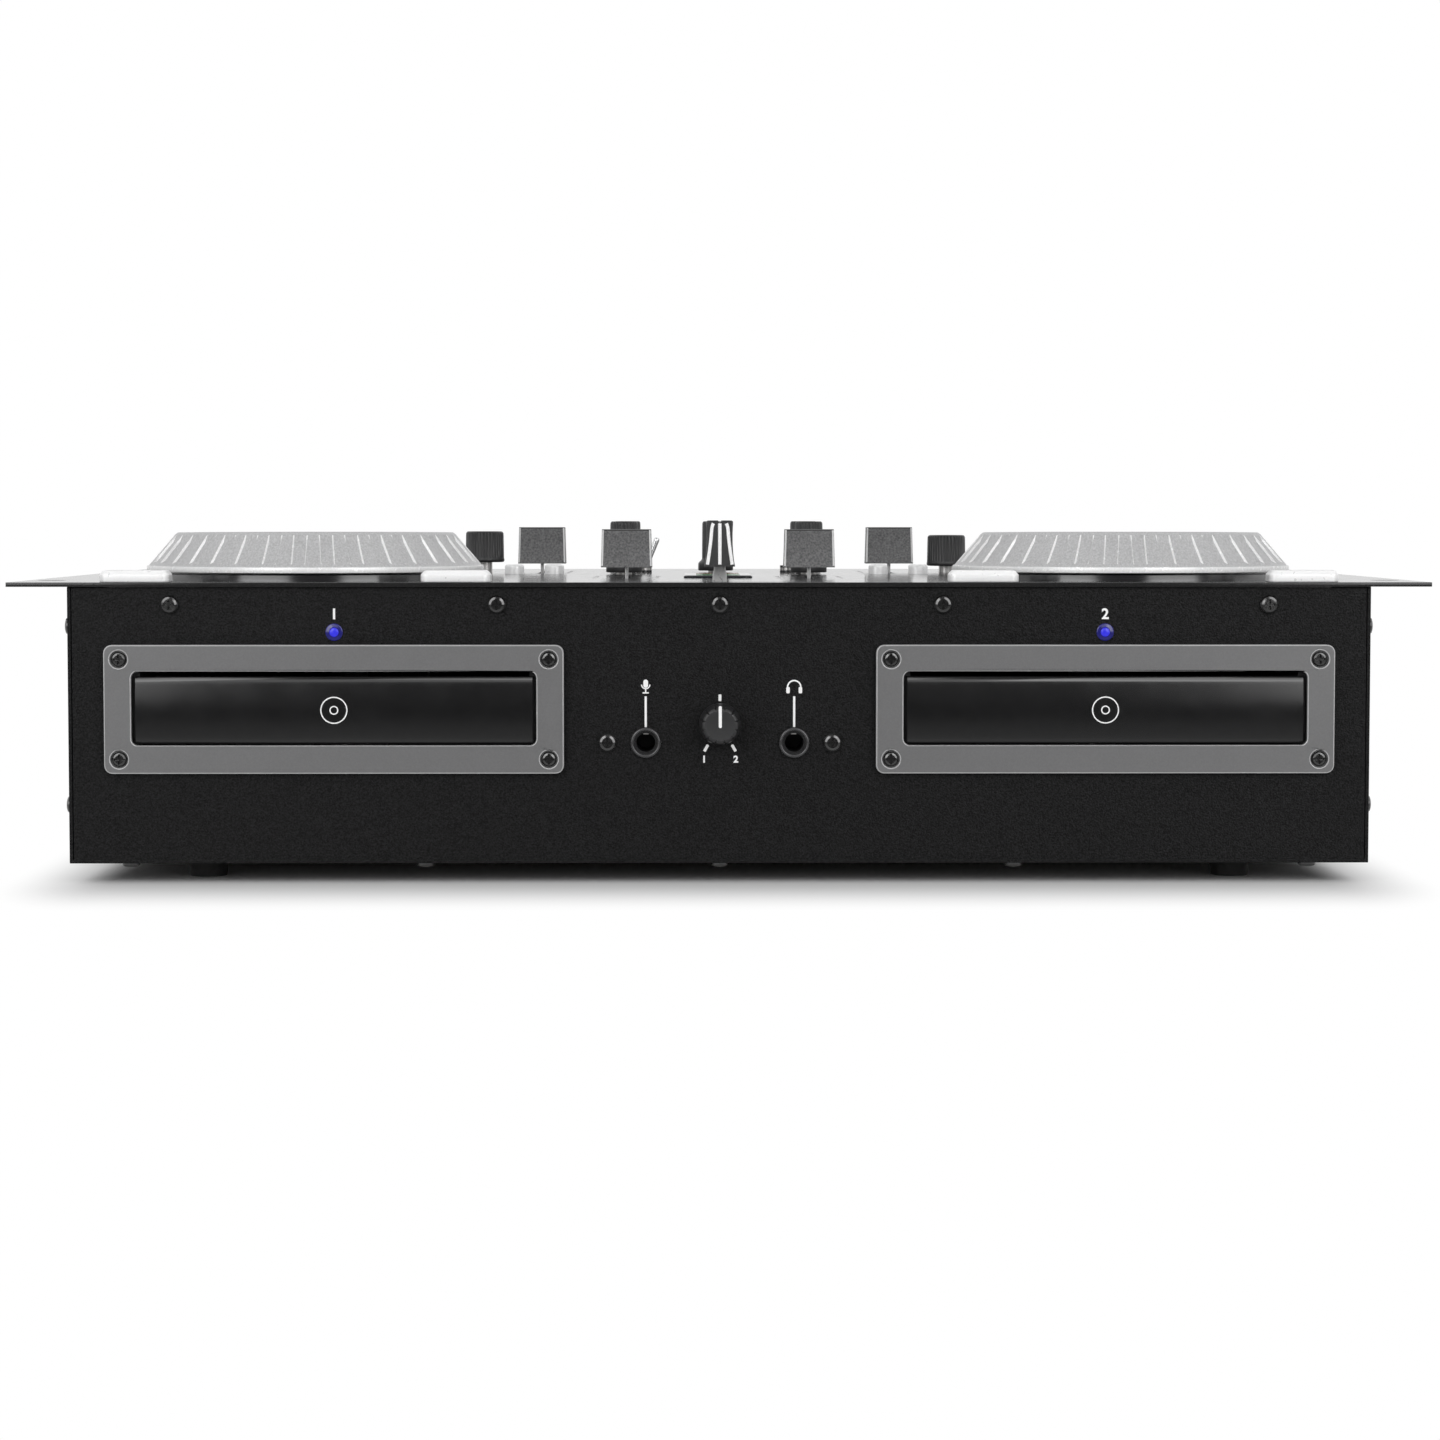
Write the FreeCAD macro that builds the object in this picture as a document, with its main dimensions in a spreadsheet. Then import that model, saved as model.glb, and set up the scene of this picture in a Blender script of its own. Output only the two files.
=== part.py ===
"""Rack-mounting twin disc player with a built-in mixer, as a parametric assembly.

Millimetres. X runs to the right, Y away from the user and Z up. The origin lies under the middle of the
rack panel, at the level of the soles of the feet.
"""

import FreeCAD
import Part
import math
import os
import Sketcher

DOCUMENT = FreeCAD.newDocument("TwinDiscPlayer")
SHEET = DOCUMENT.addObject("Spreadsheet::Sheet", "Sizes")

# Driving sizes: alias, value, meaning. A "drop" is measured down from the top of the rack panel, a "depth"
# back from its front edge, and a "lift" up from its top.
DRIVING_SIZES = (
    # Case
    ("panel_width", 482.6, "rack panel across its ears"),
    ("panel_depth", 310.4, "rack panel, seven units"),
    ("panel_thickness", 1.5, "rack panel sheet"),
    ("rack_slot_side", 8.75, "rack slots from the panel's sides"),
    ("rack_slot_inset", 37.725, "rack slots from the panel's front and rear edges"),
    ("rack_slot_length", 10.0, "rack slot, end to end"),
    ("rack_slot_width", 7.0, "rack slot"),
    ("body_height", 94.0, "underside of the case to underside of the panel"),
    ("body_setback", 2.0, "front and rear of the case behind the panel's edges"),
    ("sheet", 1.2, "steel sheet of the case"),
    ("seam_gap", 0.3, "gap between neighbouring sheets"),
    ("flange_height", 10.0, "flanges turned down under the panel"),
    ("fold_width", 12.0, "flanges folded back from the front and rear sheets"),
    ("foot_height", 7.0, "rubber foot"),
    ("foot_diameter", 14.1, "rubber foot"),
    ("foot_taper", 0.6, "rubber foot, smaller at its sole"),
    ("foot_side", 43.0, "feet from the case's sides"),
    ("foot_inset", 32.0, "feet from the panel's front and rear edges"),
    # Screws
    ("screw_head_diameter", 6.2, "pan head"),
    ("screw_head_height", 1.9, "pan head"),
    ("screw_shank_diameter", 2.9, "screw"),
    ("screw_length", 6.0, "screw under its head"),
    ("screw_hole_gap", 0.15, "clearance round a screw"),
    ("cross_length", 3.6, "cross recess"),
    ("cross_width", 0.8, "cross recess"),
    ("cross_depth", 1.2, "cross recess"),
    ("head_dome_share", 0.45, "domed part of a screw head's height"),
    ("head_shoulder_share", 0.84, "width of the dome at its shoulder, share of the head"),
    ("head_flat_share", 0.6, "width of the head's flat top, share of the head"),
    ("panel_screw_drop", 7.5, "front screws that hold the panel"),
    ("panel_screw_inner_x", 75.6, "front screws that hold the panel"),
    ("panel_screw_side", 34.7, "outer front screws from the case's sides"),
    ("side_screw_upper_drop", 15.0, "side screws"),
    ("side_screw_lower_drop", 76.0, "side screws"),
    ("side_screw_inset", 8.0, "side and bottom screws from the ends of the case"),
    ("bottom_screw_side", 19.7, "outer bottom screws from the case's sides"),
    # Tray bezels
    ("bezel_inner_x", 52.9, "inner ends of the tray bezels from the middle"),
    ("bezel_outer_margin", 12.5, "outer ends of the tray bezels from the case's sides"),
    ("bezel_side", 9.3, "tray bezel beside its opening"),
    ("bezel_above", 9.05, "tray bezel above its opening"),
    ("bezel_below", 9.65, "tray bezel below its opening"),
    ("bezel_thickness", 3.0, "tray bezel"),
    ("bezel_corner", 1.8, "tray bezel, corner radius"),
    ("bezel_chamfer", 0.9, "tray bezel, front edge"),
    ("opening_side_gap", 3.0, "opening beside the disc tray"),
    ("opening_height", 25.0, "opening for the tray"),
    ("opening_drop", 42.65, "opening centre"),
    ("opening_corner", 1.0, "opening, corner radius"),
    ("bezel_screw_side", 5.1, "bezel screws from the bezel's ends"),
    ("bezel_screw_edge", 4.9, "bezel screws from the bezel's long edges"),
    ("bezel_screw_head_diameter", 5.0, "bezel screw head"),
    ("bezel_screw_head_height", 1.4, "bezel screw head"),
    ("bezel_screw_length", 5.6, "bezel screw under its head"),
    ("bezel_recess_diameter", 5.8, "recess round a bezel screw head"),
    ("bezel_recess_depth", 1.6, "recess round a bezel screw head"),
    ("panel_hole_margin", 1.0, "hole in the front sheet round the opening"),
    # Tray
    ("tray_front_side_gap", 0.9, "gap beside the tray front"),
    ("tray_front_top_gap", 1.65, "gap above the tray front"),
    ("tray_front_foot_gap", 0.45, "gap below the tray front"),
    ("tray_front_thickness", 3.4, "tray front at its middle"),
    ("tray_front_bulge", 0.7, "tray front, proud at its middle"),
    ("tray_front_bevel", 0.6, "tray front, long edges"),
    ("tray_front_setback", 0.4, "tray front behind the bezel's face"),
    ("tray_rim", 5.0, "disc tray beside its recess"),
    ("tray_front_rim", 6.7, "disc tray in front of its recess"),
    ("tray_thickness", 5.0, "disc tray"),
    ("tray_rise", 0.15, "upper face of the disc tray above the opening's centre"),
    ("tray_travel", 140.0, "tray stroke"),
    ("disc_recess_diameter", 121.0, "recess for the disc"),
    ("disc_recess_depth", 2.0, "recess for the disc"),
    ("tray_slot_width", 40.0, "slot over the spindle and pickup"),
    ("tray_slot_reach", 20.0, "slot in front of the disc centre"),
    # Tray drive
    ("gear_module", 1.25, "tray gear and rack"),
    ("gear_teeth", 16, "tray gear"),
    ("gear_width", 4.2, "tray gear"),
    ("gear_axle_diameter", 4.0, "pin of the tray gear"),
    ("gear_axle_gap", 0.1, "pin in the tray gear"),
    ("gear_depth", 20.0, "tray gear centre"),
    ("gear_drop_under_tray", 0.8, "tray gear below the tray"),
    ("tooth_share", 0.38, "tooth thickness as a share of the pitch"),
    ("tooth_root_share", 1.2, "gear tooth at its root, share of its thickness"),
    ("tooth_tip_share", 0.55, "gear tooth at its tip, share of its thickness"),
    ("tooth_sink", 0.8, "gear tooth inside the root circle"),
    ("addendum_modules", 0.9, "tooth above the pitch line, in modules"),
    ("dedendum_modules", 1.15, "tooth below the pitch line, in modules"),
    ("rack_lead_teeth", 2.5, "rack in front of the gear's axis, in pitches"),
    ("rack_inset", 30.0, "rack pitch line left of the tray centre"),
    ("rack_back_width", 3.0, "strip behind the rack teeth"),
    ("rack_height", 5.0, "rack below the tray"),
    ("rack_spare_teeth", 6, "rack teeth beyond the stroke"),
    # Loader frame
    ("frame_wall", 2.0, "loader frame walls and floor"),
    ("frame_side_gap", 0.5, "loader frame beside the tray"),
    ("frame_floor_drop", 19.8, "loader frame floor below the tray's upper face"),
    ("frame_back_gap", 4.0, "loader frame beyond the tray"),
    ("ledge_width", 3.0, "ledges under the tray's edges"),
    ("ledge_gap", 0.3, "ledges below the tray"),
    ("bridge_length", 36.0, "bridge over the disc centre"),
    ("leg_diameter", 8.0, "loader frame legs"),
    ("leg_inset", 12.0, "loader frame legs from its edges"),
    ("lug_margin", 4.3, "lugs behind the front sheet, beyond the bezel screws"),
    # Spindle and pickup
    ("hub_diameter", 28.0, "spindle table"),
    ("hub_table_thickness", 2.0, "spindle table"),
    ("hub_table_rise", 0.5, "spindle table above the recess floor"),
    ("boss_diameter", 14.8, "boss that centres the disc"),
    ("boss_height", 1.6, "boss that centres the disc"),
    ("spindle_shaft_diameter", 3.0, "spindle shaft"),
    ("spindle_gap", 0.3, "clearance round the spindle parts"),
    ("motor_diameter", 24.0, "spindle motor"),
    ("motor_height", 13.0, "spindle motor"),
    ("clamp_diameter", 32.0, "disc clamp"),
    ("clamp_thickness", 3.5, "disc clamp"),
    ("clamp_stem_diameter", 10.0, "disc clamp stem"),
    ("clamp_cap_diameter", 15.0, "disc clamp, over the bridge"),
    ("clamp_rise", 2.6, "disc clamp above the tray"),
    ("pickup_width", 34.0, "optical pickup"),
    ("pickup_length", 20.0, "optical pickup"),
    ("pickup_height", 7.0, "optical pickup"),
    ("pickup_base_rise", 9.0, "optical pickup above the frame floor"),
    ("pickup_start", 26.0, "optical pickup behind the disc centre, at rest"),
    ("pickup_travel", 33.0, "optical pickup stroke"),
    ("lens_diameter", 5.0, "lens of the pickup"),
    ("lens_height", 1.6, "lens of the pickup"),
    ("rod_diameter", 3.0, "pickup guide rods"),
    ("rod_pitch", 26.0, "pickup guide rods"),
    ("rod_gap", 0.3, "clearance round a guide rod"),
    ("rod_post_width", 5.0, "posts that hold the guide rods"),
    ("rod_end_gap", 2.0, "spare guide rod beyond the stroke"),
    # Front controls
    ("lamp_drop", 16.9, "status lamps"),
    ("lamp_diameter", 5.0, "status lamp"),
    ("lamp_rim_diameter", 6.0, "status lamp rim"),
    ("lamp_rim_height", 0.5, "status lamp rim"),
    ("lamp_dome_height", 1.0, "status lamp dome"),
    ("lamp_dome_share", 0.8, "status lamp dome, share of the lamp"),
    ("lamp_length", 6.0, "status lamp behind the front"),
    ("jack_x", 25.2, "jacks"),
    ("jack_drop", 54.4, "jacks"),
    ("jack_bore_diameter", 6.4, "jack bore for a quarter inch plug"),
    ("jack_bore_length", 25.0, "jack bore"),
    ("jack_sleeve_diameter", 9.0, "threaded sleeve of a jack"),
    ("jack_nut_diameter", 10.7, "ring nut of a jack"),
    ("jack_nut_height", 1.8, "ring nut of a jack"),
    ("jack_body_width", 14.0, "jack body"),
    ("jack_body_length", 26.0, "jack body"),
    ("jack_screw_x", 38.2, "screws beside the jacks"),
    ("cue_drop", 48.0, "cue mix knob"),
    ("cue_knob_diameter", 14.2, "cue mix knob"),
    ("cue_knob_tip_diameter", 12.6, "cue mix knob at its face"),
    ("cue_knob_length", 12.2, "cue mix knob"),
    ("cue_knob_gap", 0.8, "cue mix knob off the front"),
    ("cue_knob_band_share", 0.3, "straight band at the cue mix knob's foot, share of its length"),
    ("cue_knob_flutes", 24, "flutes round the cue mix knob"),
    ("cue_flute_diameter", 1.0, "flute in the cue mix knob"),
    ("knob_edge", 0.8, "rounded edge of a knob's face"),
    ("cue_pot_length", 12.0, "body behind the cue mix knob"),
    # Jog wheels
    ("jog_radius", 60.0, "jog wheel rim"),
    ("jog_rim_step", 0.7, "ledge between the rim and the cone"),
    ("jog_rim_edge", 0.3, "rounded edges of the rim"),
    ("jog_cone_run", 10.0, "cone, from its foot in to the wheel's top"),
    ("jog_top_edge", 0.6, "rounded edge round the wheel's top"),
    ("jog_rim_lift", 2.8, "underside of the rim"),
    ("jog_rim_height", 2.1, "rim band"),
    ("jog_cone_height", 11.7, "cone above the rim band"),
    ("jog_wall", 2.4, "jog wheel shell"),
    ("jog_top_land", 5.3, "flat ring round the dish"),
    ("jog_dish_depth", 0.8, "shallow dish in the top"),
    ("jog_finger_radius", 9.0, "finger hollow in the top"),
    ("jog_finger_inset", 14.0, "finger hollow's centre from the edge of the dish"),
    ("jog_finger_depth", 1.4, "finger hollow in the top"),
    ("jog_groove_count", 36, "grooves in the cone"),
    ("jog_groove_width", 4.6, "groove"),
    ("jog_groove_depth", 1.0, "groove"),
    ("jog_groove_end", 0.9, "groove above the foot of the cone"),
    ("jog_hub_diameter", 24.0, "hub inside the jog wheel"),
    ("jog_shaft_diameter", 8.0, "jog wheel shaft"),
    ("jog_running_gap", 0.3, "clearance round the jog wheel's shaft and under its hub"),
    ("jog_base_margin", 0.6, "black base beyond the jog wheel"),
    ("jog_base_height", 2.1, "black base under the jog wheel"),
    ("jog_bearing_diameter", 28.0, "bearing housing under the panel"),
    ("jog_bearing_height", 12.6, "bearing housing under the panel"),
    ("pad_inner_x", 77.9, "inner ends of the silver pads from the middle"),
    ("pad_inset", 3.0, "silver pads behind the panel's front edge"),
    ("pad_side", 5.7, "outer ends of a wheel's pads beyond the black base"),
    ("pad_ahead", 9.4, "fronts of the pads ahead of the black base"),
    ("pad_width", 23.7, "silver pad"),
    ("pad_length", 12.0, "silver pad, along Y"),
    ("pad_height", 4.0, "silver pad"),
    ("pad_chamfer", 1.4, "silver pad, upper edge"),
    ("pad_corner", 2.5, "silver pad, corner radius"),
    # Faders
    ("crossfader_depth", 16.0, "crossfader"),
    ("crossfader_travel", 45.0, "crossfader stroke"),
    ("crossfader_cap_length", 19.0, "crossfader cap"),
    ("crossfader_cap_height", 15.7, "crossfader cap"),
    ("crossfader_cap_lift", 5.2, "crossfader cap"),
    ("channel_fader_x", 33.4, "channel faders"),
    ("channel_fader_depth", 100.0, "channel faders"),
    ("channel_fader_travel", 45.0, "channel fader stroke"),
    ("channel_cap_length", 18.7, "channel fader cap"),
    ("channel_cap_height", 13.9, "channel fader cap"),
    ("channel_cap_lift", 3.7, "channel fader cap"),
    ("pitch_fader_x", 69.4, "pitch faders"),
    ("pitch_fader_depth", 220.0, "pitch faders"),
    ("pitch_fader_travel", 60.0, "pitch fader stroke"),
    ("pitch_cap_length", 19.0, "pitch fader cap"),
    ("pitch_cap_height", 14.5, "pitch fader cap"),
    ("pitch_cap_lift", 3.5, "pitch fader cap"),
    ("cap_foot_width", 10.7, "fader cap across its grip, at its foot"),
    ("cap_waist_width", 8.6, "fader cap across its grip, at its waist"),
    ("cap_top_width", 9.1, "fader cap across its grip, at its top"),
    ("cap_notch_width", 1.0, "line notch in a fader cap"),
    ("cap_notch_depth", 0.7, "line notch in a fader cap"),
    ("cap_chamfer", 0.9, "fader cap, upright edges"),
    ("cap_foot_share", 0.06, "height of the cap's foot band, share of the cap"),
    ("cap_lower_share", 0.3, "height where the cap's waist begins, share of the cap"),
    ("cap_waist_share", 0.6, "height of the cap's waist, share of the cap"),
    ("cap_lower_flare", 0.35, "fader cap beyond its waist where the waist begins"),
    ("cap_edge", 0.65, "fader cap, rounded upper edges"),
    ("lever_width", 4.8, "fader lever along its stroke"),
    ("lever_thickness", 1.2, "fader lever"),
    ("tongue_width", 3.3, "fader lever in its cap"),
    ("tongue_length", 5.0, "fader lever in its cap"),
    ("socket_gap", 0.1, "fader cap round its lever"),
    ("slot_gap", 0.6, "slots round a fader lever"),
    ("housing_height", 11.0, "fader and control bodies under the panel"),
    ("housing_width", 13.0, "fader bodies"),
    ("housing_end", 3.5, "fader body beyond its slot"),
    ("lever_depth", 7.0, "fader lever below the panel"),
    # Knobs and switches
    ("shaft_diameter", 6.0, "control shafts"),
    ("shaft_gap", 0.3, "clearance round control shafts"),
    ("shaft_depth", 7.0, "control shaft below the panel"),
    ("pot_width", 14.0, "rotary control bodies"),
    ("track_knob_offset", 22.8, "track knobs outwards from the pitch faders"),
    ("track_knob_depth", 216.0, "track knobs"),
    ("track_knob_diameter", 15.6, "track knob"),
    ("track_knob_tip_diameter", 15.0, "track knob at its top"),
    ("track_knob_height", 12.3, "track knob"),
    ("track_knob_flutes", 36, "flutes round a track knob"),
    ("track_flute_diameter", 0.8, "flute in a track knob"),
    ("track_knob_left_lift", 4.1, "left track knob"),
    ("track_knob_right_lift", 2.6, "right track knob"),
    ("mixer_knob_x", 35.7, "outer mixer knobs"),
    ("mixer_knob_front_depth", 172.0, "front mixer knobs"),
    ("mixer_knob_rear_depth", 237.0, "rear mixer knobs"),
    ("master_knob_depth", 219.0, "master level knob"),
    ("mixer_skirt_diameter", 14.0, "mixer knob skirt"),
    ("mixer_skirt_height", 4.0, "mixer knob skirt"),
    ("mixer_grip_diameter", 11.4, "mixer knob grip"),
    ("mixer_knob_height", 19.7, "mixer knob"),
    ("mixer_knob_lift", 0.7, "mixer knob"),
    ("mixer_knob_flutes", 18, "flutes round a mixer knob"),
    ("mixer_flute_diameter", 1.3, "flute in a mixer knob"),
    ("mixer_skirt_slope", 1.0, "bevel on the mixer knob's skirt"),
    ("flute_shift", 0.35, "middle of a mixer knob's flute outside its grip"),
    ("toggle_x", 28.5, "input toggles"),
    ("toggle_depth", 205.0, "input toggles"),
    ("toggle_lean", 21.0, "input toggle, degrees from upright"),
    ("toggle_length", 15.0, "input toggle above its pivot"),
    ("toggle_tail", 4.0, "input toggle below its pivot"),
    ("toggle_foot_diameter", 1.8, "input toggle at its pivot"),
    ("toggle_tip_diameter", 3.0, "input toggle at its tip"),
    ("toggle_bush_diameter", 6.2, "threaded bush of a toggle"),
    ("toggle_bush_height", 3.0, "threaded bush of a toggle"),
    ("toggle_bore_diameter", 5.2, "bore of the bush"),
    # Push buttons
    ("bend_button_inner_x", 63.0, "pitch bend buttons"),
    ("bend_button_outer_x", 78.5, "pitch bend buttons"),
    ("bend_button_clear", 0.75, "pitch bend buttons in front of the pitch faders' bodies"),
    ("bend_button_diameter", 7.5, "pitch bend button"),
    ("bend_button_height", 3.7, "pitch bend button above the panel"),
    ("bend_button_round", 1.1, "pitch bend button, upper edge"),
    ("deck_button_depth", 172.0, "play and cue buttons"),
    ("play_button_offset", 19.8, "play buttons outwards from the jog wheels' axes"),
    ("cue_button_offset", 16.2, "cue buttons inwards from the jog wheels' axes"),
    ("deck_button_width", 24.0, "play and cue buttons"),
    ("deck_button_length", 15.0, "play and cue buttons"),
    ("deck_button_height", 3.6, "play and cue buttons above the panel"),
    ("deck_button_corner", 2.5, "play and cue buttons"),
    ("deck_button_bevel", 0.8, "play and cue buttons, upper edge"),
    ("button_travel", 1.2, "push button stroke"),
    ("button_gap", 0.35, "panel hole round a button"),
    ("button_skirt", 4.5, "push button below the panel's top"),
    ("switch_width", 8.0, "switch bodies"),
    # Displays
    ("display_gap", 4.2, "disc display windows outwards from the track knobs"),
    ("display_depth", 228.0, "disc displays"),
    ("display_width", 92.0, "disc display window"),
    ("display_length", 46.0, "disc display window"),
    ("meter_depth", 117.0, "level meter"),
    ("meter_width", 25.0, "level meter window"),
    ("meter_length", 60.0, "level meter window"),
    ("window_proud", 0.9, "windows above the panel"),
    ("window_corner", 3.0, "windows, corner radius"),
    ("window_lip", 2.0, "windows beyond their holes"),
    # Inside
    ("board_thickness", 1.6, "circuit boards"),
    ("control_board_front", 150.0, "control board, front of its rear part"),
    ("control_board_back", 278.0, "control board, rear edge"),
    ("control_tongue_width", 96.0, "control board, part under the crossfader"),
    ("control_tongue_front", 8.0, "control board, front edge"),
    ("main_board_width", 96.0, "main board"),
    ("main_board_front", 52.0, "main board, front edge"),
    ("main_board_length", 120.0, "main board"),
    ("standoff_height", 8.0, "standoffs"),
    ("standoff_diameter", 6.0, "standoffs"),
    ("chip_height", 3.0, "parts on the main board"),
    ("signal_chip_width", 24.0, "main board, signal processor"),
    ("memory_chip_width", 18.0, "main board, memory"),
    ("servo_chip_width", 16.0, "main board, servo driver"),
    ("power_chip_width", 28.0, "main board, power driver"),
    ("chip_x", 22.0, "parts on the main board from its middle line"),
    ("chip_front", 32.0, "front parts on the main board from its front edge"),
    ("chip_back", 40.0, "rear parts on the main board from its rear edge"),
    ("transformer_x", 30.0, "power transformer, left of the middle"),
    ("transformer_depth", 250.0, "power transformer"),
    ("core_width", 60.0, "transformer core"),
    ("core_height", 50.0, "transformer core"),
    ("core_thickness", 24.0, "transformer core"),
    ("coil_width", 36.0, "transformer winding"),
    ("coil_thickness", 44.0, "transformer winding"),
    ("tab_length", 10.0, "transformer mounting tabs"),
    ("coil_end_gap", 8.0, "transformer core above and below the winding"),
    # Rear
    ("socket_count", 5, "pairs of phono sockets"),
    ("socket_side", 25.0, "last pair of phono sockets from the case's right side"),
    ("socket_pitch_x", 34.0, "pairs of phono sockets"),
    ("socket_pitch_z", 22.0, "phono sockets of a pair"),
    ("socket_height", 52.0, "phono sockets above the case floor"),
    ("socket_diameter", 8.4, "phono socket shell"),
    ("socket_bore_diameter", 3.3, "phono socket, pin hole"),
    ("socket_length", 10.0, "phono socket behind the rear sheet"),
    ("socket_flange_diameter", 13.0, "phono socket flange"),
    ("socket_flange_height", 1.2, "phono socket flange"),
    ("socket_body_length", 12.0, "phono socket block inside"),
    ("inlet_side", 49.0, "mains inlet from the case's left side"),
    ("inlet_height", 40.0, "mains inlet above the case floor"),
    ("inlet_width", 27.6, "mains inlet body"),
    ("inlet_body_height", 20.4, "mains inlet body"),
    ("inlet_flange", 3.0, "mains inlet flange round the body"),
    ("inlet_flange_height", 2.0, "mains inlet flange"),
    ("inlet_body_length", 20.0, "mains inlet inside the case"),
    ("inlet_cavity_width", 24.2, "mains inlet cavity"),
    ("inlet_cavity_height", 16.6, "mains inlet cavity"),
    ("inlet_cavity_depth", 17.0, "mains inlet cavity"),
    ("inlet_pin_length", 10.0, "mains inlet pins"),
    ("inlet_pin_pitch", 7.0, "mains inlet pins"),
    ("inlet_pin_width", 2.0, "mains inlet pins"),
    ("inlet_pin_height", 4.0, "mains inlet pins"),
    ("inlet_pin_offset", 2.0, "mains inlet pins above and below the middle"),
    ("rocker_offset", 42.0, "power rocker right of the mains inlet"),
    ("rocker_width", 13.0, "power rocker"),
    ("rocker_height", 19.0, "power rocker"),
    ("rocker_body_depth", 12.0, "power switch inside the case"),
    ("rocker_frame_width", 4.0, "power switch frame round the rocker"),
    ("rocker_frame_height", 2.0, "power switch frame"),
    ("rocker_gap", 0.5, "power rocker in its frame"),
    ("rocker_proud", 2.6, "power rocker's ends behind the rear sheet"),
    ("rocker_dip", 1.9, "power rocker's hollow at its middle"),
    ("rocker_root", 4.0, "power rocker inside the case"),
    ("rocker_root_share", 0.55, "power rocker's root, share of its height"),
    ("rocker_end_gap", 0.6, "power rocker's ends inside its height"),
    ("rocker_shoulder_share", 0.2, "power rocker's straight ends, share of how proud it stands"),
    ("rocker_tilt", 8.0, "power rocker switched off, degrees"),
    ("rocker_pivot", 2.0, "power rocker's pivot inside the case"),
)


class Size:
    """A number together with the sheet expression that gives it."""

    def __init__(self, value, text):
        self.value = float(value)
        self.text = text

    def __add__(self, other):
        other = as_size(other)
        return Size(self.value + other.value, f"({self.text} + {other.text})")

    def __radd__(self, other):
        return as_size(other) + self

    def __sub__(self, other):
        other = as_size(other)
        return Size(self.value - other.value, f"({self.text} - {other.text})")

    def __rsub__(self, other):
        return as_size(other) - self

    def __mul__(self, other):
        other = as_size(other)
        return Size(self.value * other.value, f"({self.text} * {other.text})")

    def __rmul__(self, other):
        return as_size(other) * self

    def __truediv__(self, other):
        other = as_size(other)
        return Size(self.value / other.value, f"({self.text} / {other.text})")

    def __neg__(self):
        return Size(-self.value, f"(0 - {self.text})")


def as_size(value):
    """A plain number becomes a size whose expression is that number."""
    if isinstance(value, Size):
        return value
    return Size(value, f"({value})")


def round_up(size):
    return Size(math.ceil(size.value), f"ceil({size.text})")


def fill_sheet():
    """Write the driving sizes to the sheet and return them by alias."""
    sizes = {}
    for row, (alias, value, meaning) in enumerate(DRIVING_SIZES, start=1):
        SHEET.set(f"A{row}", meaning)
        SHEET.set(f"B{row}", str(value))
        SHEET.setAlias(f"B{row}", alias)
        sizes[alias] = Size(value, f"Sizes.{alias}")
    DOCUMENT.recompute()
    return sizes


class Named:
    """Sizes as attributes."""

    def __init__(self, sizes):
        self.__dict__.update(sizes)


S = Named(fill_sheet())
ZERO = as_size(0)

# Levels and faces that several pieces share.
OVERCUT = as_size(1)
FRONT = -S.panel_depth / 2
FACE = FRONT + S.body_setback
BACK = -FACE
FLOOR = S.foot_height + S.sheet
PANEL_UNDER = S.foot_height + S.body_height
PANEL_TOP = PANEL_UNDER + S.panel_thickness
CONTROL_BOARD_TOP = PANEL_UNDER - S.housing_height
SCREW_HOLE = S.screw_shank_diameter + 2 * S.screw_hole_gap

# Tray openings and what is set round them, from the disc outwards.
TRAY_WIDTH = S.disc_recess_diameter + 2 * S.tray_rim
OPENING_WIDTH = TRAY_WIDTH + 2 * S.opening_side_gap
OPENING_Z = PANEL_TOP - S.opening_drop
TRAY_FRONT_WIDTH = OPENING_WIDTH - 2 * S.tray_front_side_gap
TRAY_FRONT_HEIGHT = S.opening_height - S.tray_front_top_gap - S.tray_front_foot_gap
TRAY_FRONT_Z = OPENING_Z + (S.tray_front_foot_gap - S.tray_front_top_gap) / 2
BEZEL_WIDTH = OPENING_WIDTH + 2 * S.bezel_side
BEZEL_HEIGHT = S.opening_height + S.bezel_above + S.bezel_below
BEZEL_Z = OPENING_Z + (S.bezel_above - S.bezel_below) / 2
BEZEL_SCREW_X = BEZEL_WIDTH / 2 - S.bezel_screw_side
BEZEL_SCREW_Z = BEZEL_HEIGHT / 2 - S.bezel_screw_edge
DECK_X = S.bezel_inner_x + BEZEL_WIDTH / 2
SIDE = DECK_X + BEZEL_WIDTH / 2 + S.bezel_outer_margin

# Jog wheels and their pads, from the wheel outwards.
JOG_CONE_RADIUS = S.jog_radius - S.jog_rim_step
JOG_TOP_RADIUS = JOG_CONE_RADIUS - S.jog_cone_run
JOG_DISH_RADIUS = JOG_TOP_RADIUS - S.jog_top_land
JOG_BASE_RADIUS = S.jog_radius + S.jog_base_margin
PAD_REACH = JOG_BASE_RADIUS + S.pad_side
JOG_X = S.pad_inner_x + PAD_REACH
JOG_Y = FRONT + S.pad_inset + S.pad_ahead + JOG_BASE_RADIUS

# Places that follow from the pitch faders.
PITCH_SLOT_LENGTH = S.pitch_fader_travel + S.lever_width + 2 * S.slot_gap
PITCH_BODY_FRONT = FRONT + S.pitch_fader_depth - PITCH_SLOT_LENGTH / 2 - S.housing_end
BEND_BUTTON_Y = PITCH_BODY_FRONT - S.bend_button_clear - S.bend_button_diameter / 2
TRACK_KNOB_X = S.pitch_fader_x + S.track_knob_offset
DISPLAY_X = TRACK_KNOB_X + S.track_knob_diameter / 2 + S.display_gap + S.display_width / 2

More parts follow.
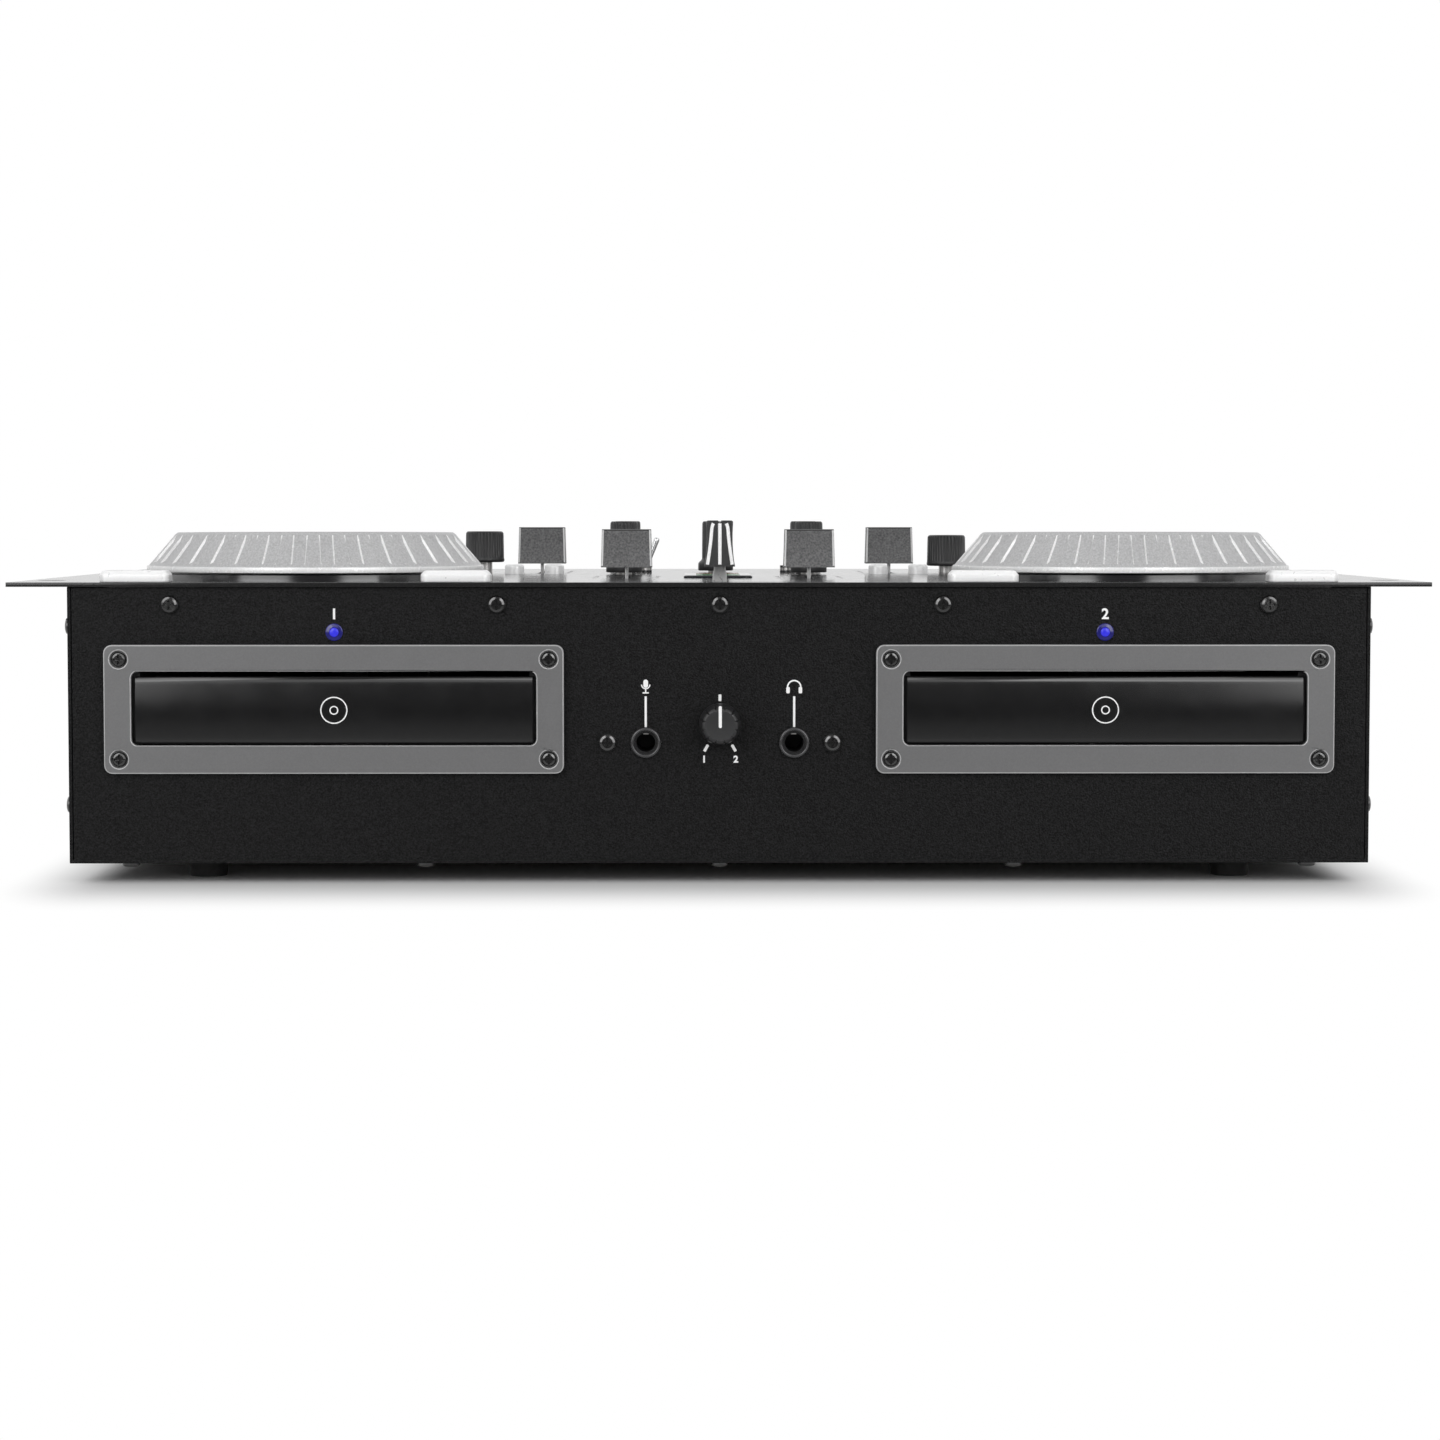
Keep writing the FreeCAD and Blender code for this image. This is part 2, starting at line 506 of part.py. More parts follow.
# Ways that a piece can point: its own Z axis turned to a direction of the assembly.
X_AXIS = FreeCAD.Vector(1, 0, 0)
Y_AXIS = FreeCAD.Vector(0, 1, 0)
Z_AXIS = FreeCAD.Vector(0, 0, 1)
TURNS = {
    "up": (FreeCAD.Rotation(), (0, 0, 1)),
    "down": (FreeCAD.Rotation(X_AXIS, 180), (0, 0, -1)),
    "front": (FreeCAD.Rotation(X_AXIS, 90), (0, -1, 0)),
    "back": (FreeCAD.Rotation(X_AXIS, -90), (0, 1, 0)),
    "right": (FreeCAD.Rotation(Y_AXIS, 90), (1, 0, 0)),
    "left": (FreeCAD.Rotation(Y_AXIS, -90), (-1, 0, 0)),
}

NODES = {}
PANEL_CUTS = []
FRONT_CUTS = []
REAR_CUTS = []
PAN_CUTS = []
HOUSINGS = []


# Document helpers

def bind(thing, name, size):
    size = as_size(size)
    setattr(thing, name, size.value)
    thing.setExpression(name, size.text)


def put(thing, place, rotation=None):
    """Place an object, with its position bound to the sheet."""
    sizes = [as_size(size) for size in place]
    base = FreeCAD.Vector(*[size.value for size in sizes])
    thing.Placement = FreeCAD.Placement(base, rotation or FreeCAD.Rotation())
    for axis, size in zip("xyz", sizes):
        thing.setExpression(f".Placement.Base.{axis}", size.text)
    return thing


def shifted(place, towards, distance):
    """A place moved along one of the named directions."""
    steps = TURNS[towards][1]
    return tuple(as_size(size) + step * distance if step else as_size(size)
                 for size, step in zip(place, steps))


def box(x, y, z):
    """A block between pairs of low and high coordinates."""
    block = DOCUMENT.addObject("Part::Box", "Block")
    for name, (low, high) in zip(("Length", "Width", "Height"), (x, y, z)):
        bind(block, name, as_size(high) - low)
    return put(block, (x[0], y[0], z[0]))


def around(centre, width):
    """The pair of coordinates that lie half a width either side of a centre."""
    return as_size(centre) - width / 2, as_size(centre) + width / 2


def cylinder(diameter, height, place, towards="up"):
    rod = DOCUMENT.addObject("Part::Cylinder", "Rod")
    bind(rod, "Radius", diameter / 2)
    bind(rod, "Height", height)
    return put(rod, place, TURNS[towards][0])


def cone(diameter, tip_diameter, height, place, towards="up"):
    taper = DOCUMENT.addObject("Part::Cone", "Taper")
    bind(taper, "Radius1", diameter / 2)
    bind(taper, "Radius2", tip_diameter / 2)
    bind(taper, "Height", height)
    return put(taper, place, TURNS[towards][0])


def fused(*solids):
    if len(solids) == 1:
        return solids[0]
    union = DOCUMENT.addObject("Part::MultiFuse", "Union")
    union.Shapes = list(solids)
    return union


def cut(solid, *tools):
    difference = DOCUMENT.addObject("Part::Cut", "Difference")
    difference.Base = solid
    difference.Tool = fused(*tools)
    return difference


def grouped(*solids):
    group = DOCUMENT.addObject("Part::Compound", "Group")
    group.Links = list(solids)
    return group


PANEL_CUT_Z = (PANEL_UNDER - OVERCUT, PANEL_TOP + OVERCUT)


def panel_hole(diameter, x, y):
    """A cutter for a round hole through the rack panel."""
    return cylinder(diameter, S.panel_thickness + 2 * OVERCUT, (x, y, PANEL_CUT_Z[0]))


def node(name, thing):
    """Name a finished sub-part."""
    thing.Label = name
    NODES[name] = thing
    return thing


# PartDesign helpers

def new_body(name):
    return DOCUMENT.addObject("PartDesign::Body", name)


def new_sketch(body, plane="XY_Plane", offset=ZERO):
    """A sketch on one of the body's own origin planes, moved along the plane's normal."""
    sketch = body.newObject("Sketcher::SketchObject", "Outline")
    support = [feature for feature in body.Origin.OriginFeatures if feature.Role == plane][0]
    sketch.AttachmentSupport = [(support, "")]
    sketch.MapMode = "FlatFace"
    offset = as_size(offset)
    sketch.AttachmentOffset = FreeCAD.Placement(FreeCAD.Vector(0, 0, offset.value), FreeCAD.Rotation())
    sketch.setExpression(".AttachmentOffset.Base.z", offset.text)
    return sketch


def constrain(sketch, kind, *arguments):
    """Add a constraint; a last argument that is a size is bound to the sheet."""
    size = arguments[-1]
    if isinstance(size, Size):
        index = sketch.addConstraint(Sketcher.Constraint(kind, *arguments[:-1], size.value))
        sketch.setExpression(f"Constraints[{index}]", size.text)
    else:
        sketch.addConstraint(Sketcher.Constraint(kind, *arguments))


def fix_point(sketch, geometry, end, point):
    for kind, size in zip(("DistanceX", "DistanceY"), point):
        constrain(sketch, kind, -1, 1, geometry, end, as_size(size))


def vector(point):
    return FreeCAD.Vector(as_size(point[0]).value, as_size(point[1]).value, 0)


def draw_polygon(sketch, points):
    count = len(points)
    first = sketch.GeometryCount
    for index, point in enumerate(points):
        following = points[(index + 1) % count]
        sketch.addGeometry(Part.LineSegment(vector(point), vector(following)), False)
    for index in range(count):
        constrain(sketch, "Coincident", first + index, 2, first + (index + 1) % count, 1)
    for index, point in enumerate(points):
        fix_point(sketch, first + index, 1, point)
    return sketch


def draw_circle(sketch, point, diameter):
    radius = diameter / 2
    index = sketch.addGeometry(Part.Circle(vector(point), Z_AXIS, radius.value), False)
    fix_point(sketch, index, 3, point)
    constrain(sketch, "Radius", index, radius)
    return sketch


def draw_rounded_rectangle(sketch, width, height, radius, middle=(ZERO, ZERO)):
    """Four corner arcs joined by tangent lines."""
    centres = []
    for across, up in ((1, -1), (1, 1), (-1, 1), (-1, -1)):
        centres.append((middle[0] + across * (width / 2 - radius), middle[1] + up * (height / 2 - radius)))
    arcs = []
    for index, centre in enumerate(centres):
        start = math.radians(90 * index - 90)
        circle = Part.Circle(vector(centre), Z_AXIS, radius.value)
        arcs.append(sketch.addGeometry(Part.ArcOfCircle(circle, start, start + math.pi / 2), False))
    for index, arc in enumerate(arcs):
        following = arcs[(index + 1) % 4]
        ends = sketch.getPoint(arc, 2), sketch.getPoint(following, 1)
        line = sketch.addGeometry(Part.LineSegment(*ends), False)
        constrain(sketch, "Tangent", arc, 2, line, 1)
        constrain(sketch, "Tangent", line, 2, following, 1)
    for arc, centre in zip(arcs, centres):
        fix_point(sketch, arc, 3, centre)
        constrain(sketch, "Radius", arc, radius)
    return sketch


def pad(body, sketch, length, both_ways=False):
    feature = body.newObject("PartDesign::Pad", "Pad")
    feature.Profile = sketch
    feature.SideType = "Symmetric" if both_ways else "One side"
    bind(feature, "Length", length)
    return feature


def pocket(body, sketch, length, both_ways=False):
    """Cut against the sketch's normal, or both ways from it."""
    feature = body.newObject("PartDesign::Pocket", "Pocket")
    feature.Profile = sketch
    feature.SideType = "Symmetric" if both_ways else "One side"
    bind(feature, "Length", length)
    return feature


def revolved(body, points):
    """Turn a profile of radius and height about the body's Z axis."""
    sketch = draw_polygon(new_sketch(body, "XZ_Plane"), points)
    feature = body.newObject("PartDesign::Revolution", "Turning")
    feature.Profile = sketch
    feature.ReferenceAxis = (sketch, ["V_Axis"])
    feature.Angle = 360
    return feature


def repeated_round(body, feature, count):
    """Repeat a feature about the body's Z axis."""
    DOCUMENT.recompute()
    pattern = body.newObject("PartDesign::PolarPattern", "Round")
    pattern.Originals = [feature]
    axis = [item for item in body.Origin.OriginFeatures if item.Role == "Z_Axis"][0]
    pattern.Axis = (axis, [""])
    pattern.Angle = 360
    pattern.Occurrences = int(count.value)
    pattern.setExpression("Occurrences", count.text)
    body.Tip = pattern
    return pattern


def repeated_along_y(body, feature, count, pitch):
    """Repeat a feature along the body's Y axis."""
    DOCUMENT.recompute()
    pattern = body.newObject("PartDesign::LinearPattern", "Row")
    pattern.Originals = [feature]
    axis = [item for item in body.Origin.OriginFeatures if item.Role == "Y_Axis"][0]
    pattern.Direction = (axis, [""])
    bind(pattern, "Length", (count - 1) * pitch)
    pattern.Occurrences = int(count.value)
    pattern.setExpression("Occurrences", count.text)
    body.Tip = pattern
    return pattern


def edges_at(feature, height):
    """Names of the edges that lie wholly at one height of the body."""
    DOCUMENT.recompute()
    names = []
    for index, edge in enumerate(feature.Shape.Edges, start=1):
        bounds = edge.BoundBox
        if abs(bounds.ZMin - height.value) < 1e-6 and abs(bounds.ZMax - height.value) < 1e-6:
            names.append(f"Edge{index}")
    return names


def dress(body, kind, feature, names, size):
    """Chamfer or round edges."""
    edging = body.newObject(f"PartDesign::{kind}", kind)
    edging.Base = (feature, names)
    bind(edging, "Radius" if kind == "Fillet" else "Size", size)
    return edging


# Screws

def screw_pattern(name, head_diameter, head_height, length):
    """A cross-head screw: its seat at the origin, its head above."""
    body = new_body(name)
    dome = head_height * S.head_dome_share
    shoulder = S.head_shoulder_share
    shank = S.screw_shank_diameter / 2
    revolved(body, (
        (ZERO, -length),
        (shank, -length),
        (shank, ZERO),
        (head_diameter / 2, ZERO),
        (head_diameter / 2, head_height - dome),
        (head_diameter / 2 * shoulder, head_height - dome * (1 - shoulder) * 2),
        (head_diameter / 2 * S.head_flat_share, head_height),
        (ZERO, head_height),
    ))
    sketch = new_sketch(body, offset=head_height)
    arm = S.cross_length / 2
    half = S.cross_width / 2
    draw_polygon(sketch, (
        (arm, -half), (arm, half), (half, half), (half, arm), (-half, arm), (-half, half),
        (-arm, half), (-arm, -half), (-half, -half), (-half, -arm), (half, -arm), (half, -half),
    ))
    pocket(body, sketch, S.cross_depth)
    return body


CASE_SCREW = screw_pattern("CaseScrew", S.screw_head_diameter, S.screw_head_height, S.screw_length)
BEZEL_SCREW = screw_pattern(
    "BezelScrew", S.bezel_screw_head_diameter, S.bezel_screw_head_height, S.bezel_screw_length)


def screw(pattern, length, place, towards):
    """A screw whose head points in a direction, and the cutter for its hole."""
    link = DOCUMENT.addObject("App::Link", "Screw")
    link.LinkedObject = pattern
    link.LinkTransform = True
    put(link, place, TURNS[towards][0])
    end = shifted(place, towards, -length - S.screw_hole_gap)
    return link, cylinder(SCREW_HOLE, 2 * length, end, towards)


# Case

def case_screws():
    screws = []

    def add(place, towards, *cut_lists):
        link, hole = screw(CASE_SCREW, S.screw_length, place, towards)
        screws.append(link)
        for cuts in cut_lists:
            cuts.append(hole)

    top_z = PANEL_TOP - S.panel_screw_drop
    outer_x = SIDE - S.panel_screw_side
    for x in (-outer_x, -S.panel_screw_inner_x, ZERO, S.panel_screw_inner_x, outer_x):
        add((x, FACE, top_z), "front", FRONT_CUTS, PANEL_CUTS)
        add((x, BACK, top_z), "back", REAR_CUTS, PANEL_CUTS)
    for x in (-S.jack_screw_x, S.jack_screw_x):
        add((x, FACE, PANEL_TOP - S.jack_drop), "front", FRONT_CUTS)
    ends = ((FACE + S.side_screw_inset, FRONT_CUTS), (BACK - S.side_screw_inset, REAR_CUTS))
    for y, cuts in ends:
        for drop in (S.side_screw_upper_drop, S.side_screw_lower_drop):
            add((-SIDE, y, PANEL_TOP - drop), "left", PAN_CUTS, cuts)
            add((SIDE, y, PANEL_TOP - drop), "right", PAN_CUTS, cuts)
        for step in (-1, -0.5, 0, 0.5, 1):
            add((step * (SIDE - S.bottom_screw_side), y, S.foot_height), "down", PAN_CUTS, cuts)
    node("case_screws", grouped(*screws))


def end_sheet(name, outer, inner_sign, cuts):
    """A front or rear sheet with flanges folded inwards at its sides and foot."""
    inner = outer + inner_sign * S.sheet
    fold = outer + inner_sign * S.fold_width
    half = SIDE - S.sheet - S.seam_gap
    bottom = FLOOR
    top = PANEL_UNDER - S.seam_gap
    sheet_y = (outer, inner) if inner_sign > 0 else (inner, outer)
    fold_y = (outer, fold) if inner_sign > 0 else (fold, outer)
    panel = box((-half, half), sheet_y, (bottom, top))
    foot_fold = box((-half, half), fold_y, (bottom, bottom + S.sheet))
    left_fold = box((-half, -half + S.sheet), fold_y, (bottom, top - S.flange_height))
    right_fold = box((half - S.sheet, half), fold_y, (bottom, top - S.flange_height))
    node(name, cut(fused(panel, foot_fold, left_fold, right_fold), *cuts))


def base_pan():
    """The case's floor and sides, one folded sheet."""
    floor = box((-SIDE, SIDE), (FACE, BACK), (S.foot_height, FLOOR))
    sides = []
    for low, high in ((-SIDE, -SIDE + S.sheet), (SIDE - S.sheet, SIDE)):
        sides.append(box((low, high), (FACE, BACK), (S.foot_height, PANEL_UNDER)))
    node("base_pan", cut(fused(floor, *sides), *PAN_CUTS))


def top_plate():
    """The rack panel, with flanges turned down inside the front and rear of the case."""
    half = S.panel_width / 2
    panel = box((-half, half), (FRONT, -FRONT), (PANEL_UNDER, PANEL_TOP))
    flange_half = SIDE - S.sheet - S.fold_width
    flange_z = (PANEL_UNDER - S.flange_height, PANEL_UNDER)
    front_y = FACE + S.sheet + S.seam_gap
    front_flange = box((-flange_half, flange_half), (front_y, front_y + S.panel_thickness), flange_z)
    rear_flange = box((-flange_half, flange_half), (-front_y - S.panel_thickness, -front_y), flange_z)
    slots = []
    for across in (-1, 1):
        for along in (-1, 1):
            x = across * (half - S.rack_slot_side)
            y = along * (S.panel_depth / 2 - S.rack_slot_inset)
            reach = (S.rack_slot_length - S.rack_slot_width) / 2
            slots.append(box((x - reach, x + reach), around(y, S.rack_slot_width), PANEL_CUT_Z))
            for end in (x - reach, x + reach):
                slots.append(panel_hole(S.rack_slot_width, end, y))
    node("top_plate", cut(fused(panel, front_flange, rear_flange), *slots, *PANEL_CUTS))


def rubber_feet():
    feet = []
    tread_diameter = S.foot_diameter - 2 * S.foot_taper
    for x in (-SIDE + S.foot_side, SIDE - S.foot_side):
        for y in (FRONT + S.foot_inset, -FRONT - S.foot_inset):
            feet.append(cone(tread_diameter, S.foot_diameter, S.foot_height, (x, y, ZERO)))
    node("rubber_feet", grouped(*feet))


# Tray bezels and loaders

def deck_places():
    return (("left", -DECK_X), ("right", DECK_X))


BEZEL_FACE = FACE - S.bezel_thickness
LOADER_FRONT = FACE + S.sheet + S.seam_gap
TRAY_FRONT_BACK = BEZEL_FACE + S.tray_front_setback + S.tray_front_thickness
TRAY_TOP = OPENING_Z + S.tray_rise
TRAY_UNDER = TRAY_TOP - S.tray_thickness
GEAR_Y = FRONT + S.gear_depth
GEAR_PITCH = S.gear_module * math.pi
GEAR_RADIUS = S.gear_module * S.gear_teeth / 2
ADDENDUM = S.gear_module * S.addendum_modules
DEDENDUM = S.gear_module * S.dedendum_modules
TOOTH_HALF = S.tooth_share * GEAR_PITCH / 2
PRESSURE_ANGLE = 20
RACK_TEETH = round_up(S.tray_travel / GEAR_PITCH) + S.rack_spare_teeth
RACK_START = GEAR_Y - S.rack_lead_teeth * GEAR_PITCH
TRAY_BACK = RACK_START + (RACK_TEETH - 0.5) * GEAR_PITCH
DISC_Y = TRAY_FRONT_BACK + S.tray_front_rim + S.disc_recess_diameter / 2
FRAME_FLOOR_TOP = TRAY_TOP - S.frame_floor_drop
FRAME_FLOOR = FRAME_FLOOR_TOP - S.frame_wall
FRAME_TOP = BEZEL_Z + BEZEL_SCREW_Z + S.lug_margin
FRAME_BACK = TRAY_BACK + S.frame_back_gap
FRAME_HALF = TRAY_WIDTH / 2 + S.frame_side_gap + S.frame_wall
RECESS_FLOOR = TRAY_TOP - S.disc_recess_depth
HUB_TOP = RECESS_FLOOR + S.hub_table_rise
GEAR_TOP = TRAY_UNDER - S.gear_drop_under_tray
GEAR_BOTTOM = GEAR_TOP - S.gear_width
ROD_Z = FRAME_FLOOR_TOP + S.pickup_base_rise + S.pickup_height / 2
ROD_START = DISC_Y + S.pickup_start - S.pickup_length / 2 - S.rod_end_gap
ROD_END = DISC_Y + S.pickup_start + S.pickup_length / 2 + S.pickup_travel + S.rod_end_gap
MOTOR_TOP = FRAME_FLOOR_TOP + S.motor_height


def tray_bezels():
    """Bevelled frames round the tray openings, with recessed screws."""
    screws = []
    for side, x in deck_places():
        body = new_body(f"Bezel_{side}")
        outline = draw_rounded_rectangle(new_sketch(body), BEZEL_WIDTH, BEZEL_HEIGHT, S.bezel_corner)
        plate = pad(body, outline, S.bezel_thickness)
        plate = dress(body, "Chamfer", plate, edges_at(plate, S.bezel_thickness), S.bezel_chamfer)
        opening = new_sketch(body, offset=S.bezel_thickness)
        draw_rounded_rectangle(opening, OPENING_WIDTH, S.opening_height, S.opening_corner,
                               (ZERO, OPENING_Z - BEZEL_Z))
        pocket(body, opening, S.bezel_thickness)
        corners = []
        for across in (-1, 1):
            for up in (-1, 1):
                corners.append((across * BEZEL_SCREW_X, up * BEZEL_SCREW_Z))
        recesses = new_sketch(body, offset=S.bezel_thickness)
        holes = new_sketch(body, offset=S.bezel_thickness)
        for corner in corners:
            draw_circle(recesses, corner, S.bezel_recess_diameter)
            draw_circle(holes, corner, SCREW_HOLE)
        pocket(body, recesses, S.bezel_recess_depth)
        pocket(body, holes, S.bezel_thickness)
        put(body, (x, FACE, BEZEL_Z), TURNS["front"][0])
        node(f"tray_bezel_{side}", body)
        seat = BEZEL_FACE + S.bezel_recess_depth
        for across, up in corners:
            place = (x + across, seat, BEZEL_Z + up)
            link, hole = screw(BEZEL_SCREW, S.bezel_screw_length, place, "front")
            screws.append(link)
            FRONT_CUTS.append(hole)
        margin = 2 * S.panel_hole_margin
        FRONT_CUTS.append(box(around(x, OPENING_WIDTH + margin), (FACE - OVERCUT, FACE + S.sheet + OVERCUT),
                              around(OPENING_Z, S.opening_height + margin)))
    node("bezel_screws", grouped(*screws))


def tray_front(side, x):
    """A tray front whose face swells towards its middle."""
    body = new_body(f"TrayFront_{side}")
    half = TRAY_FRONT_HEIGHT / 2
    bevel = S.tray_front_bevel
    edge = S.tray_front_thickness - S.tray_front_bulge
    quarter = S.tray_front_thickness - S.tray_front_bulge / 4
    profile = new_sketch(body, "YZ_Plane")
    draw_polygon(profile, (
        (-half, ZERO), (half, ZERO), (half, edge - bevel), (half - bevel, edge), (half / 2, quarter),
        (ZERO, S.tray_front_thickness),
        (-half / 2, quarter), (-half + bevel, edge), (-half, edge - bevel),
    ))
    pad(body, profile, TRAY_FRONT_WIDTH, both_ways=True)
    put(body, (x, TRAY_FRONT_BACK, TRAY_FRONT_Z), TURNS["front"][0])
    node(f"tray_front_{side}", body)


def rack_tooth_points(pitch_line, y):
    """A rack tooth that points to -X from its pitch line."""
    slope = math.tan(math.radians(PRESSURE_ANGLE))
    tip = TOOTH_HALF - slope * ADDENDUM
    root = TOOTH_HALF + slope * DEDENDUM
    back = pitch_line + DEDENDUM + S.rack_back_width / 2
    face = pitch_line + DEDENDUM
    return (
        (pitch_line - ADDENDUM, y + tip), (pitch_line - ADDENDUM, y - tip),
        (face, y - root), (back, y - root), (back, y + root), (face, y + root),
    )


def disc_tray(side, x):
    """The disc tray with its recess, its slot and the rack on its underside."""
    body = new_body(f"Tray_{side}")
    half = TRAY_WIDTH / 2
    plate = new_sketch(body, offset=TRAY_UNDER)
    draw_polygon(plate, ((-half, TRAY_FRONT_BACK), (half, TRAY_FRONT_BACK), (half, TRAY_BACK),
                         (-half, TRAY_BACK)))
    pad(body, plate, S.tray_thickness)
    recess = draw_circle(new_sketch(body, offset=TRAY_TOP), (ZERO, DISC_Y), S.disc_recess_diameter)
    pocket(body, recess, S.disc_recess_depth)
    slot_half = S.tray_slot_width / 2
    slot_front = DISC_Y - S.tray_slot_reach
    slot = new_sketch(body, offset=TRAY_TOP)
    slot_back = TRAY_BACK + OVERCUT
    draw_polygon(slot, ((-slot_half, slot_front), (slot_half, slot_front), (slot_half, slot_back),
                        (-slot_half, slot_back)))
    pocket(body, slot, S.tray_thickness)
    line = -S.rack_inset
    strip_y = (RACK_START - GEAR_PITCH / 2, TRAY_BACK)
    strip = new_sketch(body, offset=TRAY_UNDER - S.rack_height)
    strip_x = (line + DEDENDUM, line + DEDENDUM + S.rack_back_width)
    draw_polygon(strip, ((strip_x[0], strip_y[0]), (strip_x[1], strip_y[0]), (strip_x[1], strip_y[1]),
                         (strip_x[0], strip_y[1])))
    pad(body, strip, S.rack_height)
    tooth = new_sketch(body, offset=TRAY_UNDER - S.rack_height)
    draw_polygon(tooth, rack_tooth_points(line, RACK_START))
    repeated_along_y(body, pad(body, tooth, S.rack_height), RACK_TEETH, GEAR_PITCH)
    put(body, (x, ZERO, ZERO))
    node(f"tray_{side}", body)


def tray_gear(side, x):
    """The gear that drives the rack; one tooth points straight at it."""
    body = new_body(f"TrayGear_{side}")
    root_radius = GEAR_RADIUS - DEDENDUM
    blank = draw_circle(new_sketch(body), (ZERO, ZERO), 2 * root_radius)
    pad(body, blank, S.gear_width)
    root = TOOTH_HALF * S.tooth_root_share
    tip = TOOTH_HALF * S.tooth_tip_share
    inside = root_radius - S.tooth_sink
    outside = GEAR_RADIUS + ADDENDUM
    tooth = new_sketch(body)
    draw_polygon(tooth, (
        (inside, -root), (root_radius, -root), (GEAR_RADIUS, -TOOTH_HALF), (outside, -tip),
        (outside, tip), (GEAR_RADIUS, TOOTH_HALF), (root_radius, root), (inside, root),
    ))
    repeated_round(body, pad(body, tooth, S.gear_width), S.gear_teeth)
    bore = draw_circle(new_sketch(body, offset=S.gear_width), (ZERO, ZERO),
                       S.gear_axle_diameter + 2 * S.gear_axle_gap)
    body.Tip = pocket(body, bore, S.gear_width)
    put(body, (x - S.rack_inset - GEAR_RADIUS, GEAR_Y, GEAR_BOTTOM))
    node(f"tray_gear_{side}", body)


def loader_frame(side, x):
    """Floor, side walls with ledges, bridge, lugs, gear post and legs in one moulding."""
    half = FRAME_HALF
    inner = half - S.frame_wall
    parts = [box((x - half, x + half), (LOADER_FRONT, FRAME_BACK), (FRAME_FLOOR, FRAME_FLOOR_TOP))]
    ledge_top = TRAY_UNDER - S.ledge_gap
    for low, high, ledge_low, ledge_high in (
            (x - half, x - inner, x - inner, x - inner + S.ledge_width),
            (x + inner, x + half, x + inner - S.ledge_width, x + inner)):
        parts.append(box((low, high), (LOADER_FRONT, FRAME_BACK), (FRAME_FLOOR, FRAME_TOP)))
        parts.append(box((ledge_low, ledge_high), (LOADER_FRONT, FRAME_BACK),
                         (ledge_top - S.frame_wall, ledge_top)))
    lug_end = BEZEL_SCREW_X + S.lug_margin
    for low, high in ((x - lug_end, x - half), (x + half, x + lug_end)):
        parts.append(box((low, high), (LOADER_FRONT, LOADER_FRONT + S.frame_wall), (FRAME_FLOOR, FRAME_TOP)))
    parts.append(box((x - half, x + half), around(DISC_Y, S.bridge_length),
                     (FRAME_TOP - S.frame_wall, FRAME_TOP)))
    gear_x = x - S.rack_inset - GEAR_RADIUS
    post_top = GEAR_BOTTOM - S.ledge_gap
    parts.append(cylinder(2 * S.gear_axle_diameter, post_top - FRAME_FLOOR_TOP,
                          (gear_x, GEAR_Y, FRAME_FLOOR_TOP)))
    parts.append(cylinder(S.gear_axle_diameter, GEAR_TOP - post_top, (gear_x, GEAR_Y, post_top)))
    for leg_x in (x - half + S.leg_inset, x + half - S.leg_inset):
        for leg_y in (LOADER_FRONT + 2 * S.leg_inset, FRAME_BACK - S.leg_inset):
            parts.append(cylinder(S.leg_diameter, FRAME_FLOOR - FLOOR, (leg_x, leg_y, FLOOR)))
    for post_y in (ROD_START - S.rod_post_width, ROD_END):
        for rod_x in around(x, S.rod_pitch):
            parts.append(box(around(rod_x, S.rod_post_width), (post_y, post_y + S.rod_post_width),
                             (FRAME_FLOOR_TOP, ROD_Z + S.rod_diameter)))
    holes = []
    for rod_x in around(x, S.rod_pitch):
        holes.append(cylinder(S.rod_diameter, ROD_END - ROD_START + 2 * S.rod_post_width,
                              (rod_x, ROD_START - S.rod_post_width, ROD_Z), "back"))
    stem_hole = S.clamp_stem_diameter + 2 * S.spindle_gap
    holes.append(cylinder(stem_hole, S.frame_wall + 2 * OVERCUT,
                          (x, DISC_Y, FRAME_TOP - S.frame_wall - OVERCUT)))
    for screw_x in (x - BEZEL_SCREW_X, x + BEZEL_SCREW_X):
        for screw_z in (BEZEL_Z - BEZEL_SCREW_Z, BEZEL_Z + BEZEL_SCREW_Z):
            holes.append(cylinder(SCREW_HOLE, S.frame_wall + 2 * OVERCUT,
                                  (screw_x, LOADER_FRONT - OVERCUT, screw_z), "back"))
    node(f"loader_frame_{side}", cut(fused(*parts), *holes))


def spindle_motors():
    """A motor with a shaft hole on each loader's floor."""
    motors = []
    for _, x in deck_places():
        can = cylinder(S.motor_diameter, S.motor_height, (x, DISC_Y, FRAME_FLOOR_TOP))
        bore = cylinder(S.spindle_shaft_diameter + 2 * S.spindle_gap, S.motor_height,
                        (x, DISC_Y, FRAME_FLOOR_TOP + S.frame_wall))
        motors.append(cut(can, bore))
    node("spindle_motors", grouped(*motors))


def guide_rods():
    rods = []
    for _, x in deck_places():
        for rod_x in around(x, S.rod_pitch):
            rods.append(cylinder(S.rod_diameter, ROD_END - ROD_START + 2 * S.rod_post_width,
                                 (rod_x, ROD_START - S.rod_post_width, ROD_Z), "back"))
    node("pickup_guide_rods", grouped(*rods))


